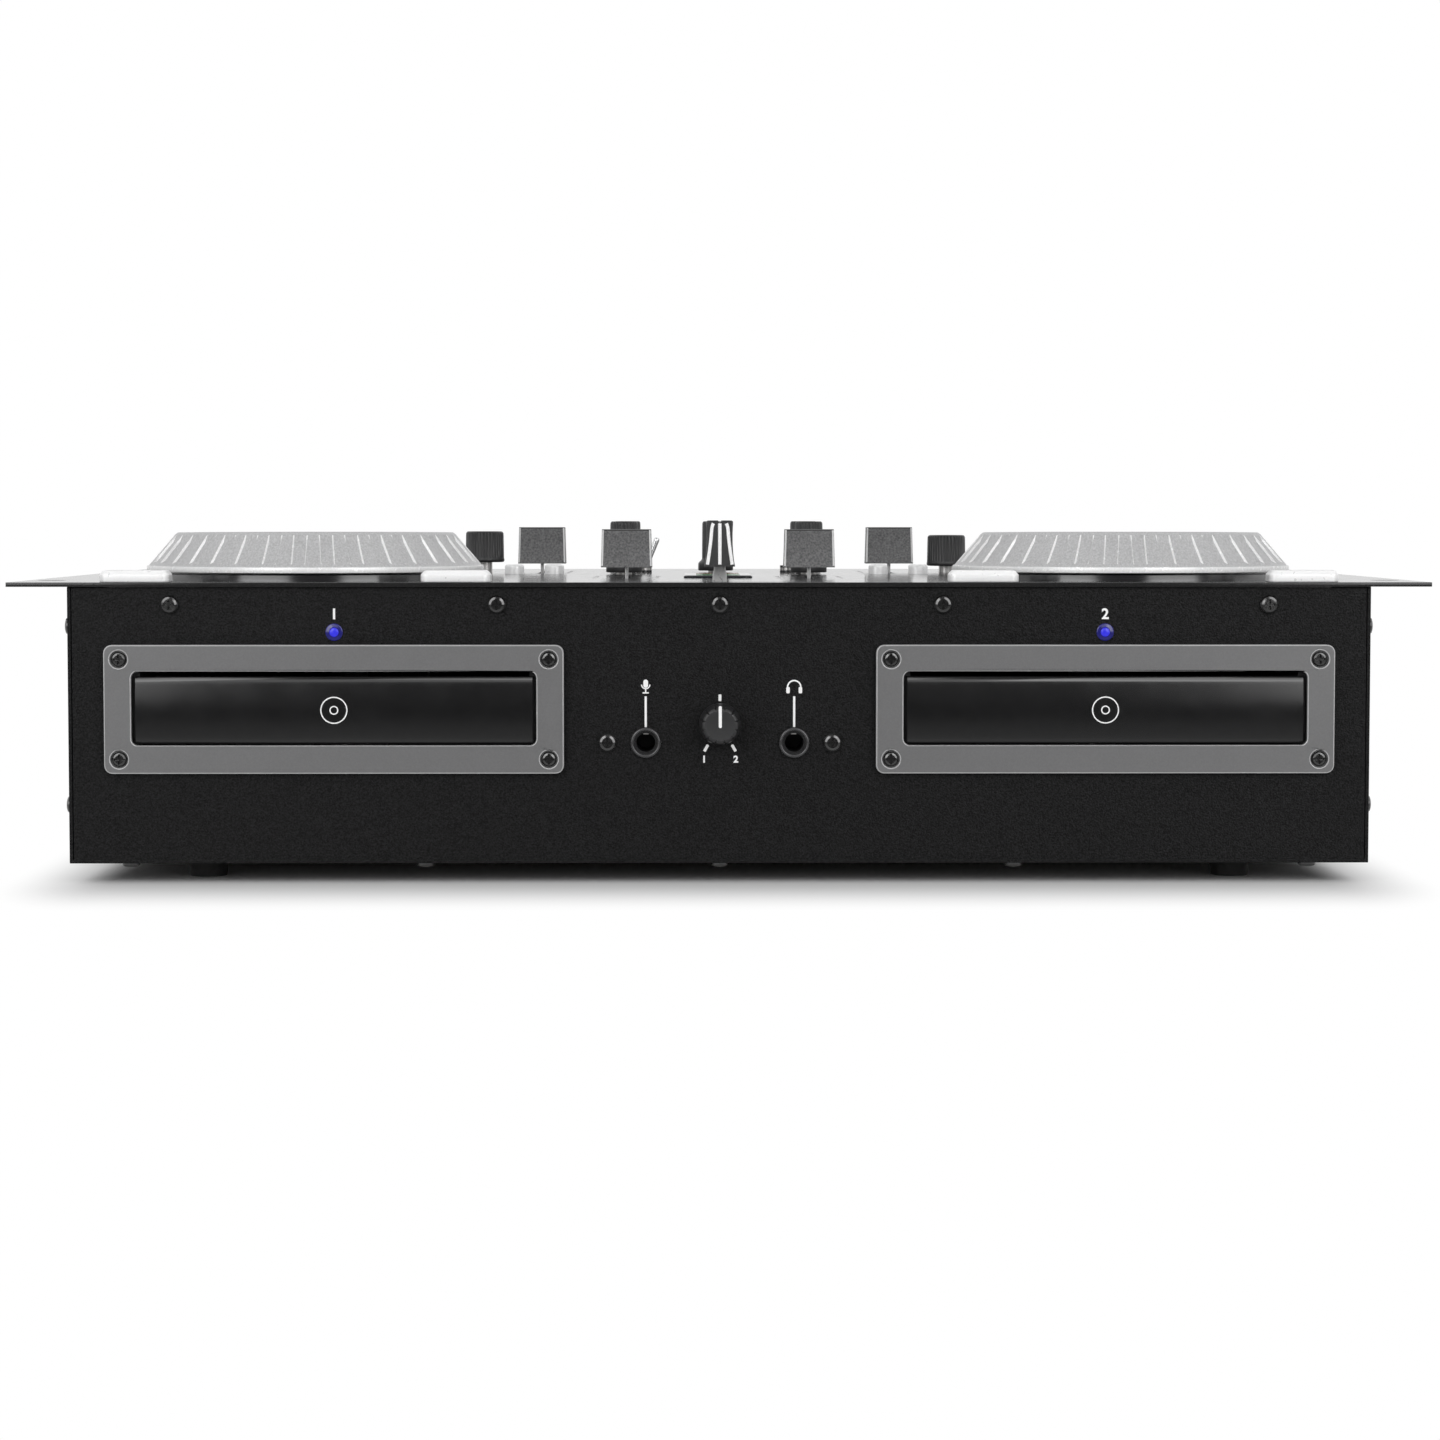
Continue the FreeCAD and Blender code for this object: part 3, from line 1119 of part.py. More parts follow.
def disc_spindle(side, x):
    """The spindle table on its shaft, and the clamp that hangs in the bridge over it."""
    table_bottom = HUB_TOP - S.hub_table_thickness
    shaft_bottom = FRAME_FLOOR_TOP + S.frame_wall + S.spindle_gap
    hub = fused(
        cylinder(S.hub_diameter, S.hub_table_thickness, (x, DISC_Y, table_bottom)),
        cone(S.boss_diameter, S.boss_diameter - S.boss_height, S.boss_height, (x, DISC_Y, HUB_TOP)),
        cylinder(S.spindle_shaft_diameter, table_bottom - shaft_bottom, (x, DISC_Y, shaft_bottom)),
    )
    clamp_bottom = TRAY_TOP + S.clamp_rise
    clamp_top = clamp_bottom + S.clamp_thickness
    stem_top = FRAME_TOP + S.spindle_gap
    clamp = fused(
        cylinder(S.clamp_diameter, S.clamp_thickness, (x, DISC_Y, clamp_bottom)),
        cylinder(S.clamp_stem_diameter, stem_top - clamp_top, (x, DISC_Y, clamp_top)),
        cylinder(S.clamp_cap_diameter, S.frame_wall, (x, DISC_Y, stem_top)),
    )
    node(f"disc_spindle_{side}", grouped(hub, clamp))


def laser_pickup(side, x):
    """A sled on two rods, with a lens on top."""
    y = around(DISC_Y + S.pickup_start, S.pickup_length)
    bottom = FRAME_FLOOR_TOP + S.pickup_base_rise
    top = bottom + S.pickup_height
    sled = box(around(x, S.pickup_width), y, (bottom, top))
    lens = cylinder(S.lens_diameter, S.lens_height, (x, DISC_Y + S.pickup_start, top))
    bores = []
    for rod_x in around(x, S.rod_pitch):
        bores.append(cylinder(S.rod_diameter + 2 * S.rod_gap, S.pickup_length + 2 * OVERCUT,
                              (rod_x, y[0] - OVERCUT, ROD_Z), "back"))
    node(f"laser_pickup_{side}", cut(fused(sled, lens), *bores))


# Front controls

def status_lamps():
    lamps = []
    radius = S.lamp_diameter / 2
    dome = radius * S.lamp_dome_share
    for _, x in deck_places():
        body = new_body("Lamp")
        revolved(body, (
            (ZERO, -S.lamp_length), (radius, -S.lamp_length), (radius, ZERO),
            (S.lamp_rim_diameter / 2, ZERO), (S.lamp_rim_diameter / 2, S.lamp_rim_height),
            (dome, S.lamp_rim_height), (dome * S.lamp_dome_share, S.lamp_dome_height * S.lamp_dome_share),
            (ZERO, S.lamp_dome_height),
        ))
        place = (x, FACE, PANEL_TOP - S.lamp_drop)
        lamps.append(put(body, place, TURNS["front"][0]))
        FRONT_CUTS.append(cylinder(S.lamp_diameter + 2 * S.screw_hole_gap, 3 * S.sheet,
                                   shifted(place, "front", S.sheet), "back"))
    node("status_lamps", grouped(*lamps))


def front_jacks():
    """Ring nut, sleeve and body of each jack, bored for the plug."""
    jacks = []
    z = PANEL_TOP - S.jack_drop
    inside = FACE + S.sheet
    for x in (-S.jack_x, S.jack_x):
        shell = fused(
            cylinder(S.jack_nut_diameter, S.jack_nut_height, (x, FACE, z), "front"),
            cylinder(S.jack_sleeve_diameter, S.sheet, (x, FACE, z), "back"),
            box(around(x, S.jack_body_width), (inside, inside + S.jack_body_length),
                around(z, S.jack_body_width)),
        )
        bore = cylinder(S.jack_bore_diameter, S.jack_bore_length, (x, FACE - S.jack_nut_height, z), "back")
        jacks.append(cut(shell, bore))
        FRONT_CUTS.append(cylinder(S.jack_sleeve_diameter + 2 * S.screw_hole_gap, 3 * S.sheet,
                                   (x, FACE - S.sheet, z), "back"))
    node("front_jacks", grouped(*jacks))


def fluted_knob(name, profile, flutes, flute_diameter, flute_at, flute_end):
    """A turned knob, its profile in radius and height, with flutes down its side to a height."""
    flute_top = profile[-1][1] + OVERCUT
    body = new_body(name)
    revolved(body, profile)
    sketch = draw_circle(new_sketch(body, offset=flute_top), (flute_at, ZERO), flute_diameter)
    flute = pocket(body, sketch, flute_top - flute_end)
    repeated_round(body, flute, flutes)
    return body


def shaft_below(knob, place, towards, length):
    """A knob together with the shaft that it sits on."""
    shaft = cylinder(S.shaft_diameter, length, shifted(place, towards, -length), towards)
    return grouped(knob, shaft)


def cue_mix_knob():
    length = S.cue_knob_length
    radius = S.cue_knob_diameter / 2
    tip = S.cue_knob_tip_diameter / 2
    knob = fluted_knob("CueKnob", (
        (ZERO, ZERO), (radius, ZERO), (radius, length * S.cue_knob_band_share),
        (tip, length - S.knob_edge), (tip - S.knob_edge, length), (ZERO, length),
    ), S.cue_knob_flutes, S.cue_flute_diameter, tip + S.cue_flute_diameter / 2, ZERO)
    place = (ZERO, FACE - S.cue_knob_gap, PANEL_TOP - S.cue_drop)
    put(knob, place, TURNS["front"][0])
    inside = S.cue_knob_gap + S.sheet + S.shaft_depth
    node("cue_mix_knob", shaft_below(knob, place, "front", inside))
    FRONT_CUTS.append(cylinder(S.shaft_diameter + 2 * S.shaft_gap, 3 * S.sheet,
                               (ZERO, FACE - S.sheet, place[2]), "back"))
    start = FACE + S.sheet
    body = box(around(ZERO, S.pot_width), (start, start + S.cue_pot_length), around(place[2], S.pot_width))
    bore = cylinder(S.shaft_diameter + 2 * S.shaft_gap, S.shaft_depth + S.shaft_gap,
                    (ZERO, start, place[2]), "back")
    HOUSINGS.append(cut(body, bore))


# Jog wheels

def jog_places():
    return (("left", -JOG_X), ("right", JOG_X))


def jog_wheel(side, x):
    """A grooved, truncated cone on a short shaft; heights are above the panel."""
    body = new_body(f"JogWheel_{side}")
    rim_top = S.jog_rim_lift + S.jog_rim_height
    top = rim_top + S.jog_cone_height
    wall = S.jog_wall
    hub = S.jog_hub_diameter / 2
    shaft = S.jog_shaft_diameter / 2
    hub_bottom = S.jog_base_height + S.jog_running_gap
    shaft_bottom = -S.panel_thickness - S.jog_bearing_height + S.jog_running_gap
    edge = S.jog_rim_edge
    revolved(body, (
        (ZERO, shaft_bottom), (shaft, shaft_bottom), (shaft, hub_bottom), (hub, hub_bottom),
        (hub, top - wall), (JOG_TOP_RADIUS - wall / 2, top - wall),
        (JOG_CONE_RADIUS - wall, rim_top), (S.jog_radius - wall, S.jog_rim_lift),
        (S.jog_radius - edge, S.jog_rim_lift), (S.jog_radius, S.jog_rim_lift + edge),
        (S.jog_radius, rim_top - edge), (S.jog_radius - edge, rim_top), (JOG_CONE_RADIUS, rim_top),
        (JOG_TOP_RADIUS, top - S.jog_top_edge), (JOG_TOP_RADIUS - S.jog_top_edge, top),
        (JOG_DISH_RADIUS, top), (JOG_DISH_RADIUS - S.jog_dish_depth, top - S.jog_dish_depth),
        (ZERO, top - S.jog_dish_depth),
    ))
    lean = S.jog_cone_run / S.jog_cone_height
    end = rim_top + S.jog_groove_end
    foot_radius = JOG_CONE_RADIUS - lean * S.jog_groove_end
    outside = foot_radius + 2 * S.jog_groove_depth
    groove = draw_polygon(new_sketch(body, "XZ_Plane"), (
        (foot_radius - S.jog_groove_depth, end),
        (outside, end - S.jog_groove_end / 2),
        (outside, top + OVERCUT),
        (JOG_TOP_RADIUS - S.jog_groove_depth - lean * OVERCUT, top + OVERCUT),
    ))
    repeated_round(body, pocket(body, groove, S.jog_groove_width, both_ways=True), S.jog_groove_count)
    finger_y = S.jog_finger_inset - JOG_DISH_RADIUS
    finger = draw_circle(new_sketch(body, offset=top), (ZERO, finger_y), 2 * S.jog_finger_radius)
    body.Tip = pocket(body, finger, S.jog_finger_depth)
    put(body, (x, JOG_Y, PANEL_TOP))
    node(f"jog_wheel_{side}", body)


def jog_bearings():
    """A black base on the panel and, through it, a bearing housing under the panel."""
    bearings = []
    bore_diameter = S.jog_shaft_diameter + 2 * S.jog_running_gap
    sleeve = S.jog_bearing_diameter - 2 * S.jog_shaft_diameter
    for _, x in jog_places():
        housing = fused(
            cylinder(2 * JOG_BASE_RADIUS, S.jog_base_height, (x, JOG_Y, PANEL_TOP)),
            cylinder(sleeve, S.panel_thickness, (x, JOG_Y, PANEL_UNDER)),
            cylinder(S.jog_bearing_diameter, S.jog_bearing_height,
                     (x, JOG_Y, PANEL_UNDER - S.jog_bearing_height)),
        )
        bore = cylinder(bore_diameter, S.jog_bearing_height + 2 * S.panel_thickness + S.jog_base_height,
                        (x, JOG_Y, PANEL_UNDER - S.jog_bearing_height))
        bearings.append(cut(housing, bore))
        PANEL_CUTS.append(panel_hole(sleeve + 2 * S.screw_hole_gap, x, JOG_Y))
    node("jog_bearings", grouped(*bearings))


def jog_pads(side, x):
    """Two bevelled pads that stand on the panel at the front corners of a wheel."""
    pads = []
    for end in (-1, 1):
        body = new_body(f"JogPad_{side}_{end + 1}")
        outline = draw_rounded_rectangle(new_sketch(body), S.pad_width, S.pad_length, S.pad_corner)
        block = pad(body, outline, S.pad_height)
        dress(body, "Chamfer", block, edges_at(block, S.pad_height), S.pad_chamfer)
        place = (x + end * (PAD_REACH - S.pad_width / 2), FRONT + S.pad_inset + S.pad_length / 2, PANEL_TOP)
        pads.append(put(body, place))
    node(f"jog_pads_{side}", grouped(*pads))


# Faders

def fader_cap(name, length, height):
    """A waisted finger grip: its length along X, its foot at the origin, a line notch on top."""
    body = new_body(name)
    foot = S.cap_foot_width / 2
    waist = S.cap_waist_width / 2
    top = S.cap_top_width / 2
    notch = S.cap_notch_width / 2
    one_side = (
        (foot, ZERO), (foot, height * S.cap_foot_share),
        (waist + S.cap_lower_flare, height * S.cap_lower_share), (waist, height * S.cap_waist_share),
        (top, height - S.cap_edge), (top - S.cap_edge, height), (notch, height),
        (notch, height - S.cap_notch_depth),
    )
    other_side = tuple((-across, up) for across, up in reversed(one_side))
    end_view = draw_polygon(new_sketch(body, "YZ_Plane"), one_side + other_side)
    grip = pad(body, end_view, length, both_ways=True)
    DOCUMENT.recompute()
    names = []
    for index, edge in enumerate(grip.Shape.Edges, start=1):
        bounds = edge.BoundBox
        at_an_end = bounds.XLength < 1e-6
        level = bounds.ZLength < 1e-6
        in_the_notch = max(abs(bounds.YMin), abs(bounds.YMax)) < notch.value + 1e-6
        if at_an_end and not level and not in_the_notch:
            names.append(f"Edge{index}")
    dress(body, "Chamfer", grip, names, S.cap_chamfer)
    socket = new_sketch(body, offset=S.tongue_length + S.socket_gap)
    half_length = S.tongue_width / 2 + S.socket_gap
    half_width = S.lever_thickness / 2 + S.socket_gap
    draw_polygon(socket, ((-half_width, -half_length), (half_width, -half_length),
                          (half_width, half_length), (-half_width, half_length)))
    pocket(body, socket, S.tongue_length + S.socket_gap)
    return body


def fader(name, x, depth, travel, cap_sizes, along_x=False):
    """A cap on its lever, the slot it runs in and its body under the panel."""
    length, height, lift = cap_sizes
    y = FRONT + depth
    cap = fader_cap(f"{name.title()}Cap", length, height)
    turn = FreeCAD.Rotation(Z_AXIS, 90 if along_x else 0)
    put(cap, (x, y, PANEL_TOP + lift), turn)
    bottom = PANEL_UNDER - S.lever_depth
    foot = PANEL_TOP + lift
    slot_length = travel + S.lever_width + 2 * S.slot_gap
    slot_width = S.lever_thickness + 2 * S.slot_gap

    def block(long_size, short_size, z):
        if along_x:
            return box(around(x, long_size), around(y, short_size), z)
        return box(around(x, short_size), around(y, long_size), z)

    lever = fused(
        block(S.lever_width, S.lever_thickness, (bottom, foot)),
        block(S.tongue_width, S.lever_thickness, (foot, foot + S.tongue_length)),
    )
    node(name, grouped(cap, lever))
    PANEL_CUTS.append(block(slot_length, slot_width, PANEL_CUT_Z))
    housing = block(slot_length + 2 * S.housing_end, S.housing_width, (CONTROL_BOARD_TOP, PANEL_UNDER))
    channel = block(slot_length, slot_width, (bottom - S.slot_gap, PANEL_UNDER + OVERCUT))
    HOUSINGS.append(cut(housing, channel))


def faders():
    fader("crossfader", ZERO, S.crossfader_depth, S.crossfader_travel,
          (S.crossfader_cap_length, S.crossfader_cap_height, S.crossfader_cap_lift), along_x=True)
    for side, sign in (("left", -1), ("right", 1)):
        fader(f"channel_fader_{side}", sign * S.channel_fader_x, S.channel_fader_depth,
              S.channel_fader_travel, (S.channel_cap_length, S.channel_cap_height, S.channel_cap_lift))
        fader(f"pitch_fader_{side}", sign * S.pitch_fader_x, S.pitch_fader_depth,
              S.pitch_fader_travel, (S.pitch_cap_length, S.pitch_cap_height, S.pitch_cap_lift))


# Knobs on the panel

def panel_knob(name, knob, x, depth, lift):
    """Seat a knob over its shaft, with the hole and the control's body below."""
    y = FRONT + depth
    place = (x, y, PANEL_TOP + lift)
    put(knob, place)
    node(name, shaft_below(knob, place, "up", lift + S.panel_thickness + S.shaft_depth))
    hole = S.shaft_diameter + 2 * S.shaft_gap
    PANEL_CUTS.append(panel_hole(hole, x, y))
    body = box(around(x, S.pot_width), around(y, S.pot_width), (CONTROL_BOARD_TOP, PANEL_UNDER))
    bore_bottom = PANEL_UNDER - S.shaft_depth - S.shaft_gap
    bore = cylinder(hole, S.shaft_depth + S.shaft_gap + OVERCUT, (x, y, bore_bottom))
    HOUSINGS.append(cut(body, bore))


def track_knob(side, x, lift):
    height = S.track_knob_height
    radius = S.track_knob_diameter / 2
    tip = S.track_knob_tip_diameter / 2
    edge = S.knob_edge
    knob = fluted_knob(f"TrackKnob_{side}", (
        (ZERO, ZERO), (radius, ZERO), (radius, edge), (tip, height - edge), (tip - edge, height),
        (ZERO, height),
    ), S.track_knob_flutes, S.track_flute_diameter, radius, ZERO)
    panel_knob(f"track_knob_{side}", knob, x, S.track_knob_depth, lift)


def mixer_knob(name, x, depth):
    height = S.mixer_knob_height
    skirt = S.mixer_skirt_diameter / 2
    grip = S.mixer_grip_diameter / 2
    edge = S.knob_edge
    knob = fluted_knob(f"{name.title()}Turned", (
        (ZERO, ZERO), (skirt, ZERO), (skirt, S.mixer_skirt_height - S.mixer_skirt_slope),
        (grip + S.flute_shift, S.mixer_skirt_height), (grip, height - edge), (grip - edge, height),
        (ZERO, height),
    ), S.mixer_knob_flutes, S.mixer_flute_diameter, grip + S.flute_shift, S.mixer_skirt_height + edge)
    panel_knob(name, knob, x, depth, S.mixer_knob_lift)


def panel_knobs():
    track_knob("left", -TRACK_KNOB_X, S.track_knob_left_lift)
    track_knob("right", TRACK_KNOB_X, S.track_knob_right_lift)
    for side, x in (("left", -S.mixer_knob_x), ("right", S.mixer_knob_x)):
        mixer_knob(f"tone_knob_{side}", x, S.mixer_knob_front_depth)
        mixer_knob(f"gain_knob_{side}", x, S.mixer_knob_rear_depth)
    mixer_knob("master_knob", ZERO, S.master_knob_depth)


def input_toggle(side, sign):
    """A tapered lever that leans to the right, pivoted at the panel's level in a threaded bush."""
    x = sign * S.toggle_x
    y = FRONT + S.toggle_depth
    length = S.toggle_length + S.toggle_tail
    lever = DOCUMENT.addObject("Part::Cone", "Toggle")
    bind(lever, "Radius1", S.toggle_foot_diameter / 2)
    bind(lever, "Radius2", S.toggle_tip_diameter / 2)
    bind(lever, "Height", length)
    put(lever, (ZERO, ZERO, -S.toggle_tail))
    holder = DOCUMENT.addObject("Part::Compound", "Leaning")
    holder.Links = [lever]
    put(holder, (x, y, PANEL_TOP), FreeCAD.Rotation(Y_AXIS, S.toggle_lean.value))
    holder.setExpression(".Placement.Rotation.Angle", S.toggle_lean.text)
    node(f"input_toggle_{side}", holder)
    bush_top = PANEL_TOP + S.toggle_bush_height
    bush = fused(
        cylinder(S.toggle_bush_diameter, S.toggle_bush_height + S.panel_thickness, (x, y, PANEL_UNDER)),
        box(around(x, S.pot_width), around(y, S.switch_width), (CONTROL_BOARD_TOP, PANEL_UNDER)),
    )
    bore = cylinder(S.toggle_bore_diameter, bush_top - CONTROL_BOARD_TOP - S.frame_wall,
                    (x, y, CONTROL_BOARD_TOP + S.frame_wall))
    HOUSINGS.append(cut(bush, bore))
    PANEL_CUTS.append(panel_hole(S.toggle_bush_diameter + 2 * S.screw_hole_gap, x, y))


# Push buttons

BUTTON_BOTTOM = PANEL_TOP - S.button_skirt


def switch_under(x, y):
    """A push switch with room above it for the button's stroke."""
    top = BUTTON_BOTTOM - S.button_travel - S.button_gap
    HOUSINGS.append(box(around(x, S.switch_width), around(y, S.switch_width), (CONTROL_BOARD_TOP, top)))


def bend_button(name, x):
    body = new_body(f"{name.title()}Turned")
    radius = S.bend_button_diameter / 2
    height = S.bend_button_height + S.button_skirt
    edge = S.bend_button_round
    revolved(body, (
        (ZERO, ZERO), (radius, ZERO), (radius, height - edge), (radius - edge / 3, height - edge / 3),
        (radius - edge, height - edge / 10), (radius - 2 * edge, height), (ZERO, height),
    ))
    put(body, (x, BEND_BUTTON_Y, BUTTON_BOTTOM))
    node(name, body)
    PANEL_CUTS.append(panel_hole(S.bend_button_diameter + 2 * S.button_gap, x, BEND_BUTTON_Y))
    switch_under(x, BEND_BUTTON_Y)


def deck_button(name, x):
    """A rounded key with a bevelled top."""
    body = new_body(f"{name.title()}Key")
    outline = draw_rounded_rectangle(new_sketch(body), S.deck_button_width, S.deck_button_length,
                                     S.deck_button_corner)
    height = S.deck_button_height + S.button_skirt
    key = pad(body, outline, height)
    dress(body, "Chamfer", key, edges_at(key, height), S.deck_button_bevel)
    y = FRONT + S.deck_button_depth
    put(body, (x, y, BUTTON_BOTTOM))
    node(name, body)
    gap = 2 * S.button_gap
    PANEL_CUTS.append(box(around(x, S.deck_button_width + gap), around(y, S.deck_button_length + gap),
                          PANEL_CUT_Z))
    switch_under(x, y)


def push_buttons():
    for side, sign in (("left", -1), ("right", 1)):
        outer, inner = ("minus", "plus") if sign < 0 else ("plus", "minus")
        bend_button(f"bend_{outer}_button_{side}", sign * S.bend_button_outer_x)
        bend_button(f"bend_{inner}_button_{side}", sign * S.bend_button_inner_x)
        deck_button(f"play_button_{side}", sign * (JOG_X + S.play_button_offset))
        deck_button(f"cue_button_{side}", sign * (JOG_X - S.cue_button_offset))


# Displays

def window(x, y, width, length):
    """A raised window whose neck fills a hole in the panel, with its module below."""
    body = new_body("Window")
    lens = draw_rounded_rectangle(new_sketch(body), width, length, S.window_corner)
    plate = pad(body, lens, S.window_proud)
    plate = dress(body, "Chamfer", plate, edges_at(plate, S.window_proud), S.window_proud / 2)
    put(body, (x, y, PANEL_TOP))
    neck_width = width - 2 * S.window_lip
    neck_length = length - 2 * S.window_lip
    gap = 2 * S.screw_hole_gap
    module = box(around(x, neck_width), around(y, neck_length), (CONTROL_BOARD_TOP, PANEL_TOP))
    PANEL_CUTS.append(box(around(x, neck_width + gap), around(y, neck_length + gap), PANEL_CUT_Z))
    return fused(body, module)


def display_windows():
    windows = [window(sign * DISPLAY_X, FRONT + S.display_depth, S.display_width, S.display_length)
               for sign in (-1, 1)]
    windows.append(window(ZERO, FRONT + S.meter_depth, S.meter_width, S.meter_length))
    node("display_windows", grouped(*windows))


# Inside

def circuit_boards():
    """The control board that hangs under the panel and the main board on its standoffs."""
    bottom = CONTROL_BOARD_TOP - S.board_thickness
    level = (bottom, CONTROL_BOARD_TOP)
    half = DISPLAY_X + S.display_width / 2
    split = FRONT + S.control_board_front
    tongue = S.control_tongue_width / 2
    control = fused(
        box((-half, half), (split, FRONT + S.control_board_back), level),
        box((-tongue, tongue), (FRONT + S.control_tongue_front, split), level),
    )
    main_half = S.main_board_width / 2
    main_front = FRONT + S.main_board_front
    main_back = main_front + S.main_board_length
    main_bottom = FLOOR + S.standoff_height
    main_top = main_bottom + S.board_thickness
    pieces = [control, box((-main_half, main_half), (main_front, main_back), (main_bottom, main_top))]
    inset = S.standoff_diameter
    for x in (-main_half + inset, main_half - inset):
        for y in (main_front + inset, main_back - inset):
            pieces.append(cylinder(S.standoff_diameter, S.standoff_height, (x, y, FLOOR)))
    front_y = main_front + S.chip_front
    back_y = main_back - S.chip_back
    for x, y, width in ((-S.chip_x, front_y, S.signal_chip_width), (S.chip_x, front_y, S.memory_chip_width),
                        (-S.chip_x, back_y, S.servo_chip_width), (S.chip_x, back_y, S.power_chip_width)):
        pieces.append(box(around(x, width), around(y, width), (main_top, main_top + S.chip_height)))
    node("circuit_boards", grouped(*pieces))


def power_transformer():
    """A laminated core with its winding, on two tabs."""
    x = -S.transformer_x
    y = FRONT + S.transformer_depth
    core_z = (FLOOR, FLOOR + S.core_height)
    core = box(around(x, S.core_width), around(y, S.core_thickness), core_z)
    inner_z = (FLOOR + S.coil_end_gap, FLOOR + S.core_height - S.coil_end_gap)
    winding = box(around(x, S.coil_width), around(y, S.coil_thickness), inner_z)
    tab_width = S.core_width + 2 * S.tab_length
    tabs = box(around(x, tab_width), around(y, S.core_thickness), (FLOOR, FLOOR + S.sheet))
    node("power_transformer", fused(core, winding, tabs))


def control_housings():
    node("control_housings", grouped(*HOUSINGS))


# Rear

def rear_sockets():
    """Pairs of phono sockets on blocks behind the rear sheet."""
    sockets = []
    inside = BACK - S.sheet
    for index in range(int(S.socket_count.value)):
        x = SIDE - S.socket_side - index * S.socket_pitch_x
        for up in (-1, 1):
            z = FLOOR + S.socket_height + up * S.socket_pitch_z / 2
            shell = fused(
                cylinder(S.socket_diameter, S.socket_length + S.sheet, (x, inside, z), "back"),
                cylinder(S.socket_flange_diameter, S.socket_flange_height, (x, BACK, z), "back"),
                box(around(x, S.socket_flange_diameter), (inside - S.socket_body_length, inside),
                    around(z, S.socket_flange_diameter)),
            )
            bore_length = S.socket_length + S.sheet + OVERCUT
            bore = cylinder(S.socket_bore_diameter, bore_length, (x, inside, z), "back")
            sockets.append(cut(shell, bore))
            REAR_CUTS.append(cylinder(S.socket_diameter + 2 * S.screw_hole_gap, 3 * S.sheet,
                                      (x, inside - S.sheet, z), "back"))
    node("rear_sockets", grouped(*sockets))


def rear_hole(x, width, z, height):
    """A cutter for a rectangular hole through the rear sheet, with a clearance all round."""
    clear = 2 * S.screw_hole_gap
    depth = (BACK - S.sheet - OVERCUT, BACK + OVERCUT)
    return box(around(x, width + clear), depth, around(z, height + clear))


INLET_X = S.inlet_side - SIDE
ROCKER_X = INLET_X + S.rocker_offset


def mains_inlet():
    """The inlet with its cavity and three pins, and the frame of the power switch beside it."""
    x = INLET_X
    z = FLOOR + S.inlet_height
    inside = BACK - S.inlet_body_length
    outside = BACK + S.inlet_flange_height
    shell = fused(
        box(around(x, S.inlet_width), (inside, BACK), around(z, S.inlet_body_height)),
        box(around(x, S.inlet_width + 2 * S.inlet_flange), (BACK, outside),
            around(z, S.inlet_body_height + 2 * S.inlet_flange)),
    )
    cavity_back = outside - S.inlet_cavity_depth
    cavity = box(around(x, S.inlet_cavity_width), (cavity_back, outside + OVERCUT),
                 around(z, S.inlet_cavity_height))
    pins = []
    for step, up in ((-1, -1), (0, 1), (1, -1)):
        pins.append(box(around(x + step * S.inlet_pin_pitch, S.inlet_pin_width),
                        (cavity_back - OVERCUT, cavity_back + S.inlet_pin_length),
                        around(z + up * S.inlet_pin_offset, S.inlet_pin_height)))
    inlet = fused(cut(shell, cavity), *pins)
    REAR_CUTS.append(rear_hole(x, S.inlet_width, z, S.inlet_body_height))
    rocker_x = ROCKER_X
    frame_width = S.rocker_width + 2 * S.rocker_frame_width
    frame_height = S.rocker_height + 2 * S.rocker_frame_width
    body_width = S.rocker_width + S.rocker_frame_width
    body_height = S.rocker_height + S.rocker_frame_width
    frame = fused(
        box(around(rocker_x, frame_width), (BACK, BACK + S.rocker_frame_height), around(z, frame_height)),
        box(around(rocker_x, body_width), (BACK - S.rocker_body_depth, BACK), around(z, body_height)),
    )
    well = box(around(rocker_x, S.rocker_width + 2 * S.rocker_gap),
               (BACK - S.rocker_root - 2 * S.rocker_dip, BACK + S.rocker_frame_height + OVERCUT),
               around(z, S.rocker_height + 2 * S.rocker_gap))
    REAR_CUTS.append(rear_hole(rocker_x, body_width, z, body_height))
    node("mains_inlet", grouped(inlet, cut(frame, well)))


def power_rocker():
    """A rocker with a hollow face, tilted about its pivot inside the rear sheet."""
    body = new_body("Rocker")
    half = S.rocker_height / 2 - S.rocker_end_gap
    root_half = S.rocker_height / 2 * S.rocker_root_share
    end = S.rocker_proud + S.rocker_pivot
    shoulder = S.rocker_proud * S.rocker_shoulder_share + S.rocker_pivot
    root = S.rocker_pivot - S.rocker_root
    profile = new_sketch(body, "YZ_Plane")
    draw_polygon(profile, (
        (root, -root_half), (shoulder, -half), (end, -half), (end - S.rocker_dip, ZERO),
        (end, half), (shoulder, half), (root, root_half),
    ))
    pad(body, profile, S.rocker_width, both_ways=True)
    place = (ROCKER_X, BACK - S.rocker_pivot, FLOOR + S.inlet_height)
    put(body, place, FreeCAD.Rotation(X_AXIS, S.rocker_tilt.value))
    body.setExpression(".Placement.Rotation.Angle", S.rocker_tilt.text)
    node("power_rocker", body)


